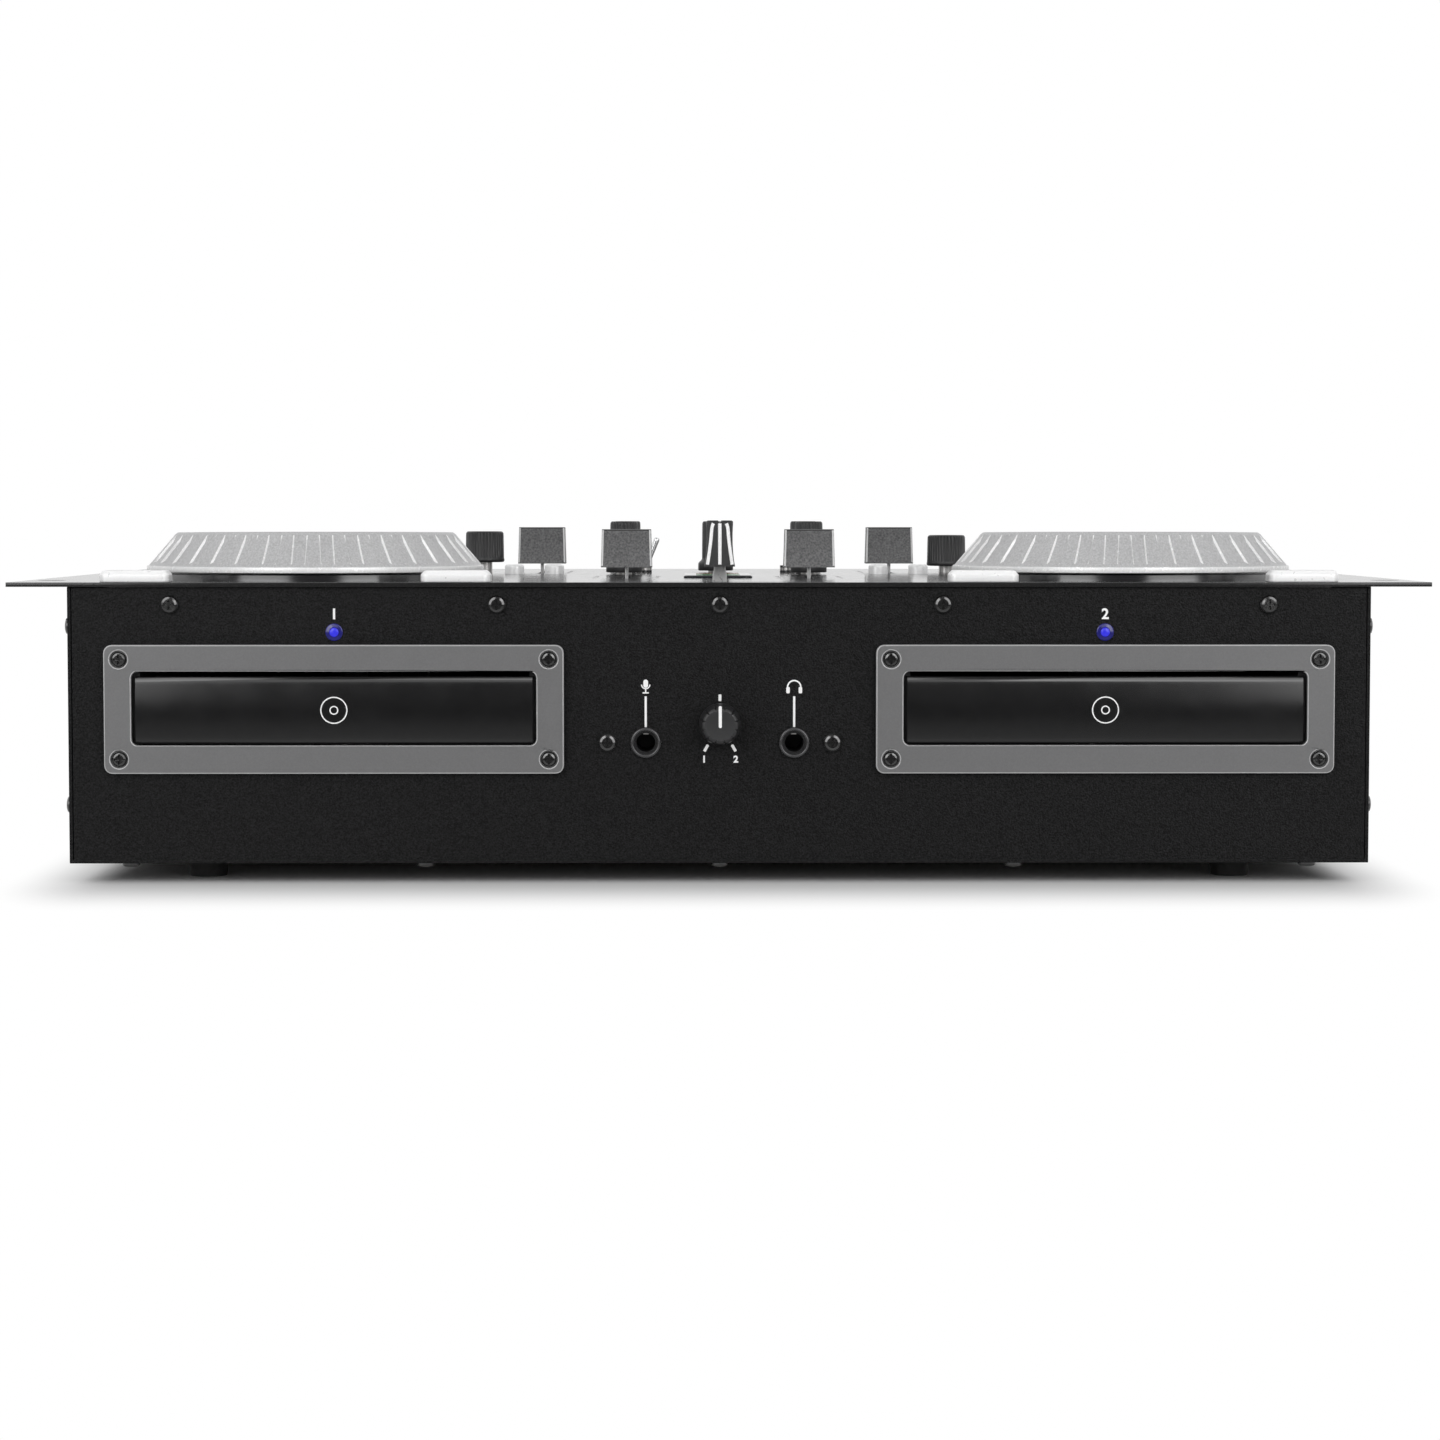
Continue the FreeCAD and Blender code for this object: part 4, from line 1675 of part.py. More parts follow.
def build():
    """Make every sub-part; the sheets come last, when all their holes are known."""
    case_screws()
    tray_bezels()
    for side, x in deck_places():
        tray_front(side, x)
        disc_tray(side, x)
        tray_gear(side, x)
        loader_frame(side, x)
        disc_spindle(side, x)
        laser_pickup(side, x)
    spindle_motors()
    guide_rods()
    status_lamps()
    front_jacks()
    cue_mix_knob()
    for side, x in jog_places():
        jog_wheel(side, x)
        jog_pads(side, x)
    jog_bearings()
    faders()
    panel_knobs()
    input_toggle("left", -1)
    input_toggle("right", 1)
    push_buttons()
    display_windows()
    circuit_boards()
    power_transformer()
    control_housings()
    rear_sockets()
    mains_inlet()
    power_rocker()
    rubber_feet()
    base_pan()
    end_sheet("front_panel", FACE, 1, FRONT_CUTS)
    end_sheet("rear_panel", BACK, -1, REAR_CUTS)
    top_plate()


def check_and_write():
    """Stop on a failed object or a bad shape, then write one file for each sub-part."""
    DOCUMENT.recompute()
    for thing in DOCUMENT.Objects:
        if "Invalid" in thing.State or "Error" in thing.State:
            raise RuntimeError(f"{thing.Name} ({thing.Label}) failed: {thing.State}")
    for name, thing in NODES.items():
        if thing.Shape.isNull() or not thing.Shape.isValid() or not thing.Shape.Solids:
            raise RuntimeError(f"{name} has no valid shape")
    os.makedirs("parts", exist_ok=True)
    for name, thing in NODES.items():
        thing.Shape.exportStep(f"parts/{name}.step")
        print(f"{name}: {len(thing.Shape.Solids)} solids, {thing.Shape.Volume:.0f} mm3")


build()
check_and_write()
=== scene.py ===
"""The looks of a rack-mounting twin disc player with a built-in mixer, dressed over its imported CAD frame.

Metres: X runs to the right, Y away from the user and Z up from the table. Sizes written in millimetres are
multiplied by MM where they are used.
"""

import math

import bmesh
import bpy
from mathutils import Euler, Matrix, Vector

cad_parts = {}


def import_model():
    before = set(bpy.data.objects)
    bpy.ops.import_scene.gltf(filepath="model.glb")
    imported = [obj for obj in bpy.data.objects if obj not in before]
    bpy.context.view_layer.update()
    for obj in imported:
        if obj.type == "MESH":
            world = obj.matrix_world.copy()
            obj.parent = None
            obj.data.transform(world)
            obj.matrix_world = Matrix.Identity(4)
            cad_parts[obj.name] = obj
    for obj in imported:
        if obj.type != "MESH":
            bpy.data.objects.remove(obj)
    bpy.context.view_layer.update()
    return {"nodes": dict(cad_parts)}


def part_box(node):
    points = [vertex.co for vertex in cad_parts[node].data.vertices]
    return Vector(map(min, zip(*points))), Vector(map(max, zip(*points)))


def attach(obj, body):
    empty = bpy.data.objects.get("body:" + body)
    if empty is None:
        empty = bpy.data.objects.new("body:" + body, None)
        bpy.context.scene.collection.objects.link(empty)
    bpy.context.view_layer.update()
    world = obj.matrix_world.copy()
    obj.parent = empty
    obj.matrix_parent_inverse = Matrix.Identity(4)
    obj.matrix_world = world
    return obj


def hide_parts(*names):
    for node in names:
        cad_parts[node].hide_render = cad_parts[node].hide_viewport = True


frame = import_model()
NODES = frame["nodes"]
MM = 0.001

# Places read from the frame
PANEL_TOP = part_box("top_plate")[1].z
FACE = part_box("front_panel")[0].y
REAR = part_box("rear_panel")[1].y
SIDES = (("left", -1), ("right", 1))


def centre_of(name):
    """The centre of a node's box, in metres."""
    low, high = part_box(name)
    return (low.x + high.x) / 2, (low.y + high.y) / 2, (low.z + high.z) / 2


def size_of(name):
    """The size of a node's box, in millimetres."""
    low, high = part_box(name)
    return (high.x - low.x) / MM, (high.y - low.y) / MM, (high.z - low.z) / MM


def top_of(name):
    """How far a node's top stands above the panel, in millimetres."""
    return (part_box(name)[1].z - PANEL_TOP) / MM


# Meshes

TOWARDS_FRONT = Euler((math.radians(90), 0, 0))
TOWARDS_BACK = Euler((math.radians(-90), 0, 0))
SEEN_FROM_BEHIND = Euler((math.radians(90), 0, math.radians(180)))


def from_bmesh(name, shape, smooth_angle):
    """Turn a bmesh into mesh data, smooth where its faces meet at less than an angle."""
    bmesh.ops.remove_doubles(shape, verts=shape.verts, dist=1e-7)
    bmesh.ops.recalc_face_normals(shape, faces=shape.faces)
    mesh = bpy.data.meshes.new(name)
    shape.to_mesh(mesh)
    shape.free()
    mesh.shade_smooth()
    mesh.set_sharp_from_angle(angle=math.radians(smooth_angle))
    return mesh


def linked(name, data):
    """A new object in the scene."""
    made = bpy.data.objects.new(name, data)
    bpy.context.scene.collection.objects.link(made)
    return made


def piece(name, shape, finish, body, replaces=(), smooth=35):
    """Make a bmesh a piece that rides on a CAD body and stands in for the nodes it replaces."""
    made = linked(name, from_bmesh(name, shape, smooth))
    made.data.materials.append(finish.material)
    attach(made, body)
    if replaces:
        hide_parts(*replaces)
    return made


def soften(made, width, segments=2, angle=30):
    """Round a piece's edges by a width in millimetres, and return the modifier that does it."""
    bevel = made.modifiers.new("Edges", "BEVEL")
    bevel.width = width * MM
    bevel.segments = segments
    bevel.limit_method = "ANGLE"
    bevel.angle_limit = math.radians(angle)
    bevel.harden_normals = True
    bevel.miter_outer = "MITER_ARC"
    return bevel


def skin(shape, rings, paint=None):
    """Join rings of vertices, or single points, with faces; paint(face, band, index) may colour each face."""
    for band, (low, high) in enumerate(zip(rings, rings[1:])):
        count = max(len(low), len(high))
        if count == 1:
            continue
        for index in range(count):
            after = (index + 1) % count
            if len(low) == 1:
                corners = (low[0], high[after], high[index])
            elif len(high) == 1:
                corners = (low[index], low[after], high[0])
            else:
                corners = (low[index], low[after], high[after], high[index])
            face = shape.faces.new(corners)
            if paint:
                paint(face, band, index)


def turned(profile, segments=96, wave=None, at=(0, 0, 0), turn=None):
    """A turned solid in millimetres. The profile is (radius, height) from axis to axis, or closed, and
    wave(angle, radius, height) gives how far a point is pressed in."""
    shape = bmesh.new()
    rings = []
    for radius, height in profile:
        if radius < 1e-6:
            rings.append([shape.verts.new((0, 0, height * MM))])
            continue
        ring = []
        for index in range(segments):
            angle = 2 * math.pi * index / segments
            pressed = wave(angle, radius, height) if wave else 0
            out = (radius - pressed) * MM
            ring.append(shape.verts.new((out * math.cos(angle), out * math.sin(angle), height * MM)))
        rings.append(ring)
    skin(shape, rings)
    return place(shape, at, turn)


def place(shape, at, turn=None):
    """Turn a bmesh and move its origin to a point."""
    matrix = Matrix.Translation(Vector(at)) @ (turn.to_matrix().to_4x4() if turn else Matrix.Identity(4))
    bmesh.ops.transform(shape, matrix=matrix, verts=shape.verts)
    return shape


def slab(outline, thickness, at=(0, 0, 0), turn=None, holes=()):
    """A plate in millimetres: an outline of (x, y) points, risen from 0 to a thickness, with holes that are
    outlines too."""
    shape = bmesh.new()
    edges = []
    for points in (outline, *holes):
        ring = [shape.verts.new((x * MM, y * MM, 0)) for x, y in points]
        edges += [shape.edges.new((a, b)) for a, b in zip(ring, ring[1:] + ring[:1])]
    if holes:
        bmesh.ops.triangle_fill(shape, edges=edges, use_dissolve=True)
    else:
        shape.faces.new(ring)
    risen = bmesh.ops.extrude_face_region(shape, geom=list(shape.faces))
    up = [item for item in risen["geom"] if isinstance(item, bmesh.types.BMVert)]
    bmesh.ops.translate(shape, verts=up, vec=(0, 0, thickness * MM))
    return place(shape, at, turn)


def merged(*shapes):
    """Several bmeshes as one."""
    whole = shapes[0]
    for other in shapes[1:]:
        mesh = bpy.data.meshes.new("part")
        other.to_mesh(mesh)
        other.free()
        whole.from_mesh(mesh)
        bpy.data.meshes.remove(mesh)
    return whole


def rectangle(width, height, corner=0.0, centre=(0, 0), steps=5):
    """Points of a rectangle with round corners."""
    if corner <= 0:
        return [(centre[0] + sx * width / 2, centre[1] + sy * height / 2)
                for sx, sy in ((-1, -1), (1, -1), (1, 1), (-1, 1))]
    points = []
    for quarter, (sx, sy) in enumerate(((1, 1), (-1, 1), (-1, -1), (1, -1))):
        for step in range(steps + 1):
            angle = math.radians(90 * (quarter + step / steps))
            points.append((centre[0] + sx * (width / 2 - corner) + corner * math.cos(angle),
                           centre[1] + sy * (height / 2 - corner) + corner * math.sin(angle)))
    return points


def circle(radius, centre=(0, 0), count=40):
    """Points of a circle."""
    return [(centre[0] + radius * math.cos(2 * math.pi * k / count),
             centre[1] + radius * math.sin(2 * math.pi * k / count)) for k in range(count)]


# Materials

class Nodes:
    """A node tree with short ways to add and join nodes."""

    def __init__(self, tree):
        self.tree = tree

    def feed(self, socket, value):
        """Give a socket a value or another node's output."""
        if isinstance(value, bpy.types.NodeSocket):
            self.tree.links.new(value, socket)
        else:
            socket.default_value = value

    def node(self, kind, feeds=(), **settings):
        """A new node, with what its sockets are fed by name or number."""
        made = self.tree.nodes.new(kind)
        for name, value in settings.items():
            setattr(made, name, value)
        for socket, value in dict(feeds).items():
            self.feed(made.inputs[socket], value)
        return made

    def ranged(self, value, low, high, start=0.3, end=0.7, **settings):
        """A value spread between two numbers."""
        feeds = {"Value": value, "From Min": start, "From Max": end, "To Min": low, "To Max": high}
        return self.node("ShaderNodeMapRange", feeds, **settings).outputs["Result"]

    def ramp(self, value, start, end, low=0.0, high=1.0):
        """A value spread smoothly between two numbers."""
        return self.ranged(value, low, high, start, end, interpolation_type="SMOOTHSTEP")

    def compute(self, operation, *values):
        """Arithmetic on one or two values, each a number or another node's output."""
        return self.node("ShaderNodeMath", enumerate(values), operation=operation).outputs["Value"]

    def seen_rays(self, rays):
        """1 for what the camera sees directly, in a mirror or through glass."""
        total = rays.outputs["Is Camera Ray"]
        for name in ("Is Glossy Ray", "Is Transmission Ray"):
            total = self.compute("MAXIMUM", total, rays.outputs[name])
        return total


class Finish(Nodes):
    """A procedural material whose pattern is fixed to the object, with sizes in millimetres."""

    def __init__(self, name, color, roughness, **sockets):
        self.material = bpy.data.materials.new(name)
        self.material.use_nodes = True
        super().__init__(self.material.node_tree)
        self.shader = self.tree.nodes["Principled BSDF"]
        self.color = color
        self.roughness = roughness
        self.shade("Base Color", (*color, 1))
        self.shade("Roughness", roughness)
        for socket, value in sockets.items():
            self.shade(socket.replace("_", " "), value)
        self.coordinates = self.node("ShaderNodeTexCoord").outputs["Object"]
        self.height = None

    def shade(self, socket, value):
        """Feed one of the shader's sockets."""
        self.feed(self.shader.inputs[socket], value)
        return self

    def noise(self, size, detail=2.0, stretch=(1, 1, 1)):
        """Noise whose blotches are about a size across."""
        scale = [s / (size * MM) for s in stretch]
        place_in = self.node("ShaderNodeMapping", {"Scale": scale, "Vector": self.coordinates})
        feeds = {"Scale": 1, "Detail": detail, "Vector": place_in.outputs["Vector"]}
        return self.node("ShaderNodeTexNoise", feeds).outputs["Fac"]

    def mottle(self, size, amount, detail=3.0, stretch=(1, 1, 1)):
        """Colour that varies a little about the base colour."""
        feeds = {"A": (*[c * (1 - amount) for c in self.color], 1),
                 "B": (*[min(1, c * (1 + amount)) for c in self.color], 1),
                 "Factor": self.ranged(self.noise(size, detail, stretch), 0, 1)}
        return self.shade("Base Color", self.node("ShaderNodeMix", feeds, data_type="RGBA").outputs["Result"])

    def patchy(self, size, amount, stretch=(1, 1, 1)):
        """Roughness that varies a little."""
        low, high = self.roughness - amount, self.roughness + amount
        return self.shade("Roughness", self.ranged(self.noise(size, 3, stretch), low, high))

    def grain(self, size, depth, detail=2.0, stretch=(1, 1, 1)):
        """Bumps of a size and depth; several layers add up."""
        feeds = {"Distance": depth * MM, "Height": self.noise(size, detail, stretch)}
        if self.height:
            feeds["Normal"] = self.height
        self.height = self.node("ShaderNodeBump", feeds).outputs["Normal"]
        return self.shade("Normal", self.height)


def glow(name, color, strength, base):
    """A lit finish."""
    finish = Finish(name, base, 0.2, Emission_Color=(*color, 1), Emission_Strength=strength)
    return finish.mottle(0.8, 0.1).grain(0.6, 0.004)


def colored(name, color, roughness=0.35, **sockets):
    """A plain moulded, painted or plated finish with a fine grain."""
    finish = Finish(name, color, roughness, **sockets)
    return finish.mottle(0.6, 0.06).patchy(1.5, 0.04).grain(0.35, 0.008)


POWDER = (Finish("powder_coat_black", (0.0072, 0.0072, 0.0075), 0.36, Specular_IOR_Level=0.13)
          .mottle(0.5, 0.95, 2).patchy(6, 0.04).grain(0.62, 0.24, 2))
POWDER_TOP = (Finish("powder_coat_top", (0.0135, 0.0135, 0.0138), 0.13, Specular_IOR_Level=0.6)
              .mottle(0.55, 0.35).patchy(6, 0.02).grain(1.1, 0.006, 2))
BEZEL = (Finish("matt_grey_paint", (0.135, 0.135, 0.137), 0.36, Specular_IOR_Level=0.7)
         .mottle(0.5, 0.07).patchy(5, 0.04).grain(0.4, 0.012))
GLOSS = (Finish("polished_black", (0.005, 0.005, 0.0053), 0.17, Specular_IOR_Level=0.7)
         .mottle(3, 0.15).patchy(8, 0.02).grain(1.2, 0.002))
BASE_BLACK = (Finish("glossy_black_base", (0.006, 0.006, 0.007), 0.17, Specular_IOR_Level=1.0,
                     Coat_Weight=1.0, Coat_Roughness=0.16)
              .patchy(10, 0.03).grain(1.5, 0.004))
TRAY = Finish("moulded_black", (0.02, 0.02, 0.021), 0.45).mottle(1.5, 0.15).patchy(3, 0.06).grain(0.25, 0.012)
JOG = (Finish("satin_silver", (0.5, 0.5, 0.505), 0.4, Metallic=0.4)
       .mottle(0.55, 0.16, 3, (1, 1, 0.5)).patchy(1.2, 0.05).grain(0.45, 0.02, 3, (1, 1, 0.4)))
PAD = (Finish("light_silver", (0.95, 0.95, 0.952), 0.3, Metallic=0.15)
       .mottle(0.5, 0.02).patchy(2, 0.03).grain(0.9, 0.001))
SCREW = (Finish("black_zinc", (0.01, 0.01, 0.01), 0.14, Specular_IOR_Level=1.0, Coat_Weight=0.5,
                Coat_Roughness=0.1)
         .mottle(0.5, 0.3).patchy(0.7, 0.04).grain(0.5, 0.008))
STEEL = (Finish("bare_steel", (0.56, 0.55, 0.54), 0.34, Metallic=1.0)
         .mottle(2, 0.06).patchy(1, 0.08, (1, 1, 6)).grain(0.3, 0.004))
CHROME = Finish("chrome", (0.86, 0.86, 0.87), 0.14, Metallic=0.7).patchy(1, 0.04).grain(0.6, 0.003)
KNOB = Finish("knob_black", (0.026, 0.026, 0.027), 0.4).mottle(0.5, 0.2).patchy(1, 0.05).grain(0.22, 0.012)
CAP = (Finish("grained_cap", (0.15, 0.15, 0.152), 0.46, Specular_IOR_Level=0.35)
       .mottle(0.7, 0.4, 2).patchy(0.6, 0.06).grain(0.55, 0.05, 3))
CAP_BLACK = (Finish("cap_black", (0.03, 0.03, 0.031), 0.34)
             .mottle(0.3, 0.2).patchy(0.6, 0.05).grain(0.25, 0.012))
RUBBER = Finish("rubber", (0.016, 0.016, 0.016), 0.68).mottle(1, 0.25).patchy(2, 0.08).grain(0.3, 0.03, 4)
INK = Finish("white_ink", (0.86, 0.86, 0.86), 0.55).mottle(0.3, 0.03).grain(0.25, 0.01)
ACETAL = (Finish("white_acetal", (0.72, 0.72, 0.69), 0.4, Subsurface_Weight=0.1)
          .mottle(2, 0.03).patchy(1, 0.05).grain(0.4, 0.008))
BOARD = (Finish("lacquered_board", (0.02, 0.13, 0.05), 0.3)
         .mottle(1.2, 0.35, 5).patchy(1, 0.06).grain(0.8, 0.03))
CORE = (Finish("laminated_core", (0.2, 0.19, 0.18), 0.45, Metallic=0.8)
        .mottle(0.5, 0.3, 2, (0.05, 1, 0.05)).grain(0.5, 0.08, 1, (0.02, 1, 0.02)))
WINDOW = Finish("tinted_window", (0.008, 0.01, 0.013), 0.1).mottle(8, 0.2).grain(6, 0.002)
LAMP_RIM = colored("blue_lens", (0.012, 0.012, 0.16), 0.15, Coat_Weight=0.5)
LAMP_CORE = glow("blue_core", (0.035, 0.035, 0.85), 0.55, (0.015, 0.015, 0.3))
BRASS = colored("tinned_brass", (0.7, 0.6, 0.4), 0.25, Metallic=1.0)
RED = colored("red_plastic", (0.45, 0.015, 0.01))
IVORY = colored("white_plastic", (0.75, 0.75, 0.72))
# Light grey for the tray bezels' rounded edges: a painted highlight along every bevel.
BEZEL_PAINTED_HIGHLIGHT = colored("bezel_edge_painted_highlight", (0.42, 0.42, 0.422), 0.25, Specular_IOR_Level=0.9)
# Near-white for the fader caps' upright bevels and the crossfader's ridges: a painted highlight.
PAINTED_EDGE_HIGHLIGHT = colored("painted_edge_highlight", (0.88, 0.88, 0.88), 0.3)
LEVER = colored("bright_lever", (0.55, 0.55, 0.55), 0.3, Metallic=0.4)
# Near-white for the jog wheels' rim band and groove walls; on the groove walls it is a painted highlight.
RIM = colored("bright_rim_and_painted_groove_highlight", (0.92, 0.92, 0.92), 0.25, Metallic=0.1)
NUT = colored("dark_nickel", (0.09, 0.09, 0.092), 0.18, Metallic=0.7)
CUE_GREY = colored("knob_grey", (0.019, 0.019, 0.02), 0.4)
DIGITS = glow("pale_digits", (0.35, 0.6, 1.0), 0.7, (0.1, 0.15, 0.25))
METER_GREEN = glow("meter_green", (0.05, 0.9, 0.15), 0.03, (0.015, 0.08, 0.02))
METER_AMBER = glow("meter_amber", (1.0, 0.55, 0.05), 0.03, (0.12, 0.06, 0.015))
METER_RED = glow("meter_red", (1.0, 0.05, 0.02), 0.03, (0.12, 0.015, 0.01))


def both(*names):
    """The names of a left and a right node."""
    return tuple(f"{name}_{side}" for name in names for side in ("left", "right"))


NODE_FINISHES = {
    POWDER: ("base_pan", "front_panel", "rear_panel"),
    POWDER_TOP: ("top_plate",),
    SCREW: ("bezel_screws", "case_screws"),
    RUBBER: ("rubber_feet",),
    PAD: both("jog_pads"),
    BASE_BLACK: ("jog_bearings",),
    WINDOW: ("display_windows",),
    TRAY: both("loader_frame", "tray", "disc_spindle"),
    STEEL: ("spindle_motors", "pickup_guide_rods", "control_housings", *both("laser_pickup")),
    ACETAL: both("tray_gear"),
    BOARD: ("circuit_boards",),
    CORE: ("power_transformer",),
    KNOB: ("mains_inlet", "power_rocker"),
    JOG: both("play_button", "cue_button"),
}

# Nodes whose edges are rounded, and by how much
PLAIN_EDGE = 0.3
NODE_EDGES = {"top_plate": 0.2, "base_pan": 0.25, "front_panel": 0.25, "rear_panel": 0.25,
              "display_windows": 0.15, "mains_inlet": PLAIN_EDGE, "power_rocker": PLAIN_EDGE}
NODE_EDGES.update({name: 0.35 for name in both("jog_pads")})
NODE_EDGES.update({name: PLAIN_EDGE for name in both("play_button", "cue_button", "tray")})
CLAMPED_NODES = ("front_panel",)


def dress_nodes():
    """Give each CAD node that stays its finish, and round its sharp edges."""
    for finish, names in NODE_FINISHES.items():
        for name in names:
            materials = NODES[name].data.materials
            materials.clear()
            materials.append(finish.material)
    for name, width in NODE_EDGES.items():
        node = NODES[name]
        weld = node.modifiers.new("Weld", "WELD")
        weld.merge_threshold = 1e-6
        flat = node.modifiers.new("Flat", "DECIMATE")
        flat.decimate_type = "DISSOLVE"
        flat.angle_limit = math.radians(0.5)
        edges = soften(node, width)
        edges.use_clamp_overlap = name in CLAMPED_NODES
        edges.miter_outer = "MITER_SHARP"
        node.modifiers.new("Normals", "WEIGHTED_NORMAL").keep_sharp = False


# Jog wheels

JOG_RADIUS = 60.0
JOG_GROOVES = 36
GROOVE_HALF = 2.3
GROOVE_WALL = 0.2
GROOVE_DEPTH = 1.0
GROOVE_START = 0.6
GROOVE_FADE = 2.6
GROOVE_SIDE = ((GROOVE_HALF - GROOVE_WALL, 1), (GROOVE_HALF, 0.5), (GROOVE_HALF + GROOVE_WALL, 0))
GROOVE_POINTS = [(-across, share) for across, share in reversed(GROOVE_SIDE)] + [(0, 1), *GROOVE_SIDE]
GROOVE_STEPS = len(GROOVE_POINTS) + 1
WALL_STEPS = (0, 1, 4, 5)
RIM_LOW = 2.8
RIM_TOP = 4.9
CONE_FOOT = JOG_RADIUS - 0.7
CONE_RUN = 10.0
CONE_HEAD = CONE_FOOT - CONE_RUN
DISH_DROP = 0.8
FINGER_HOLLOW_OUT = 30
FINGER_HOLLOW = [(0, -1.3), (3, -1.22), (6, -0.85), (8, -0.2), (9.2, 0.6), (9.2, 3), (0, 3)]
JOG_SMOOTH = 28


def jog_profile(top, groove_low, groove_top):
    """The wheel's radii and heights: hub, rim, cone, shoulder and dished top."""
    lean = CONE_RUN / (top - RIM_TOP)
    run_in = [RIM_TOP + 0.1, groove_low, groove_low + 0.25, groove_low + GROOVE_START]
    span = groove_top - GROOVE_FADE - groove_low - GROOVE_START
    steps = [groove_low + GROOVE_START + span * k / 5 for k in range(1, 6)]
    run_out = [groove_top - 1.7, groove_top - 0.8, groove_top]
    profile = [(0, 2.4), (18, 2.4), (20, RIM_LOW), (JOG_RADIUS - 0.5, RIM_LOW),
               (JOG_RADIUS - 0.15, RIM_LOW + 0.12), (JOG_RADIUS, RIM_LOW + 0.5), (JOG_RADIUS, RIM_TOP - 0.4),
               (JOG_RADIUS - 0.12, RIM_TOP - 0.1), (JOG_RADIUS - 0.4, RIM_TOP), (CONE_FOOT + 0.12, RIM_TOP)]
    profile += [(CONE_FOOT - lean * (height - RIM_TOP), height) for height in run_in + steps + run_out]
    profile += [(CONE_HEAD + 0.1, top - 0.35), (CONE_HEAD - 0.3, top - 0.06), (CONE_HEAD - 0.9, top),
                (44.4, top), (44.0, top - 0.1), (43.4, top - 0.6), (42.9, top - 0.75),
                (42.4, top - DISH_DROP), (0, top - DISH_DROP)]
    return profile


def jog_wheel(side):
    """A wheel with a bright rim, a cone with grooves round it whose walls are painted light as a highlight,
    and a finger hollow in its dished top.
    """
    name = f"jog_wheel_{side}"
    x, y, _ = centre_of(name)
    top = top_of(name)
    groove_low = RIM_TOP + 1.0
    groove_top = top - 0.75
    period = 2 * math.pi / JOG_GROOVES
    shape = bmesh.new()
    rings = []
    for radius, height in jog_profile(top, groove_low, groove_top):
        if radius == 0:
            rings.append([shape.verts.new((0, 0, height * MM))])
            continue
        fade = min(1, (height - groove_low) / GROOVE_START, (groove_top - height) / GROOVE_FADE)
        depth = GROOVE_DEPTH * max(0, fade) if radius >= CONE_HEAD else 0
        ring = []
        for groove in range(JOG_GROOVES):
            places = [(period * groove + offset / max(radius, 40), radius - depth * share)
                      for offset, share in GROOVE_POINTS]
            for angle, out in places + [(period * (groove + 0.5), radius)]:
                ring.append(shape.verts.new((out * MM * math.sin(angle), out * MM * math.cos(angle),
                                             height * MM)))
        rings.append(ring)

    def paint(face, band, index):
        if len(rings[band]) == 1 or len(rings[band + 1]) == 1:
            return
        low = rings[band][index].co
        high = rings[band + 1][index].co
        on_rim = low.xy.length > (JOG_RADIUS - 0.6) * MM and high.z < (RIM_TOP + 0.01) * MM
        up = low.z / MM
        # Groove walls take the near-white finish as a painted highlight; the rim band takes it as its own
        # colour.
        on_highlight_wall = index % GROOVE_STEPS in WALL_STEPS and groove_low - 0.01 < up < groove_top - 0.01
        if on_rim or on_highlight_wall:
            face.material_index = 1

    skin(shape, rings, paint)
    place(shape, (x, y, PANEL_TOP))
    wheel = piece(f"jog_wheel_shell_{side}", shape, JOG, name, [name], smooth=JOG_SMOOTH)
    hollow = turned(FINGER_HOLLOW, 48, at=(x, y - FINGER_HOLLOW_OUT * MM, PANEL_TOP + (top - DISH_DROP) * MM))
    cutter = linked("cutter", from_bmesh("cutter", hollow, 35))
    carve = wheel.modifiers.new("Finger", "BOOLEAN")
    carve.object = cutter
    carve.operation = "DIFFERENCE"
    carve.solver = "EXACT"
    bpy.context.view_layer.update()
    carved = bpy.data.meshes.new_from_object(wheel.evaluated_get(bpy.context.evaluated_depsgraph_get()))
    wheel.modifiers.clear()
    wheel.data = carved
    if len(carved.materials) < 2:
        carved.materials.append(RIM.material)
    carved.set_sharp_from_angle(angle=math.radians(JOG_SMOOTH))
    bpy.data.objects.remove(cutter)


# Tray bezels and fronts

BEZEL_SCREWS = (72.7, 16.95)
SCREW_RECESS = 3.0
SCREW_RECESS_DEPTH = 1.6
BEZEL_CORNER = 2.8
OPENING = (137.0, 25.0)
OPENING_CORNER = 2.2
OPENING_DROP = 42.65
FRONT_SWELL = 0.7
FRONT_END = 0.45


def tray_bezel(side):
    """A flat frame with round corners, a soft outer edge painted light as its highlight, and a recess round
    each screw.
    """
    name = f"tray_bezel_{side}"
    x, _, z = centre_of(name)
    width, depth, height = size_of(name)
    outline = rectangle(width, height, BEZEL_CORNER)
    opening = rectangle(*OPENING, OPENING_CORNER, (0, PANEL_TOP / MM - OPENING_DROP - z / MM))
    recesses = [circle(SCREW_RECESS, (across * BEZEL_SCREWS[0], up * BEZEL_SCREWS[1]), 32)
                for across in (-1, 1) for up in (-1, 1)]
    step = depth - SCREW_RECESS_DEPTH
    back = slab(outline, step, holes=[opening])
    face = slab(outline, SCREW_RECESS_DEPTH, at=(0, 0, step * MM), holes=[opening] + recesses)
    shape = place(merged(back, face), (x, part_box(name)[1].y, z), TOWARDS_FRONT)
    bezel = piece(f"tray_bezel_shell_{side}", shape, BEZEL, "root", [name], smooth=40)
    # The rounded edges take a light grey: a painted highlight.
    bezel.data.materials.append(BEZEL_PAINTED_HIGHLIGHT.material)
    edges = soften(bezel, 0.4, 3, 40)
    edges.material = 1
    edges.use_clamp_overlap = False


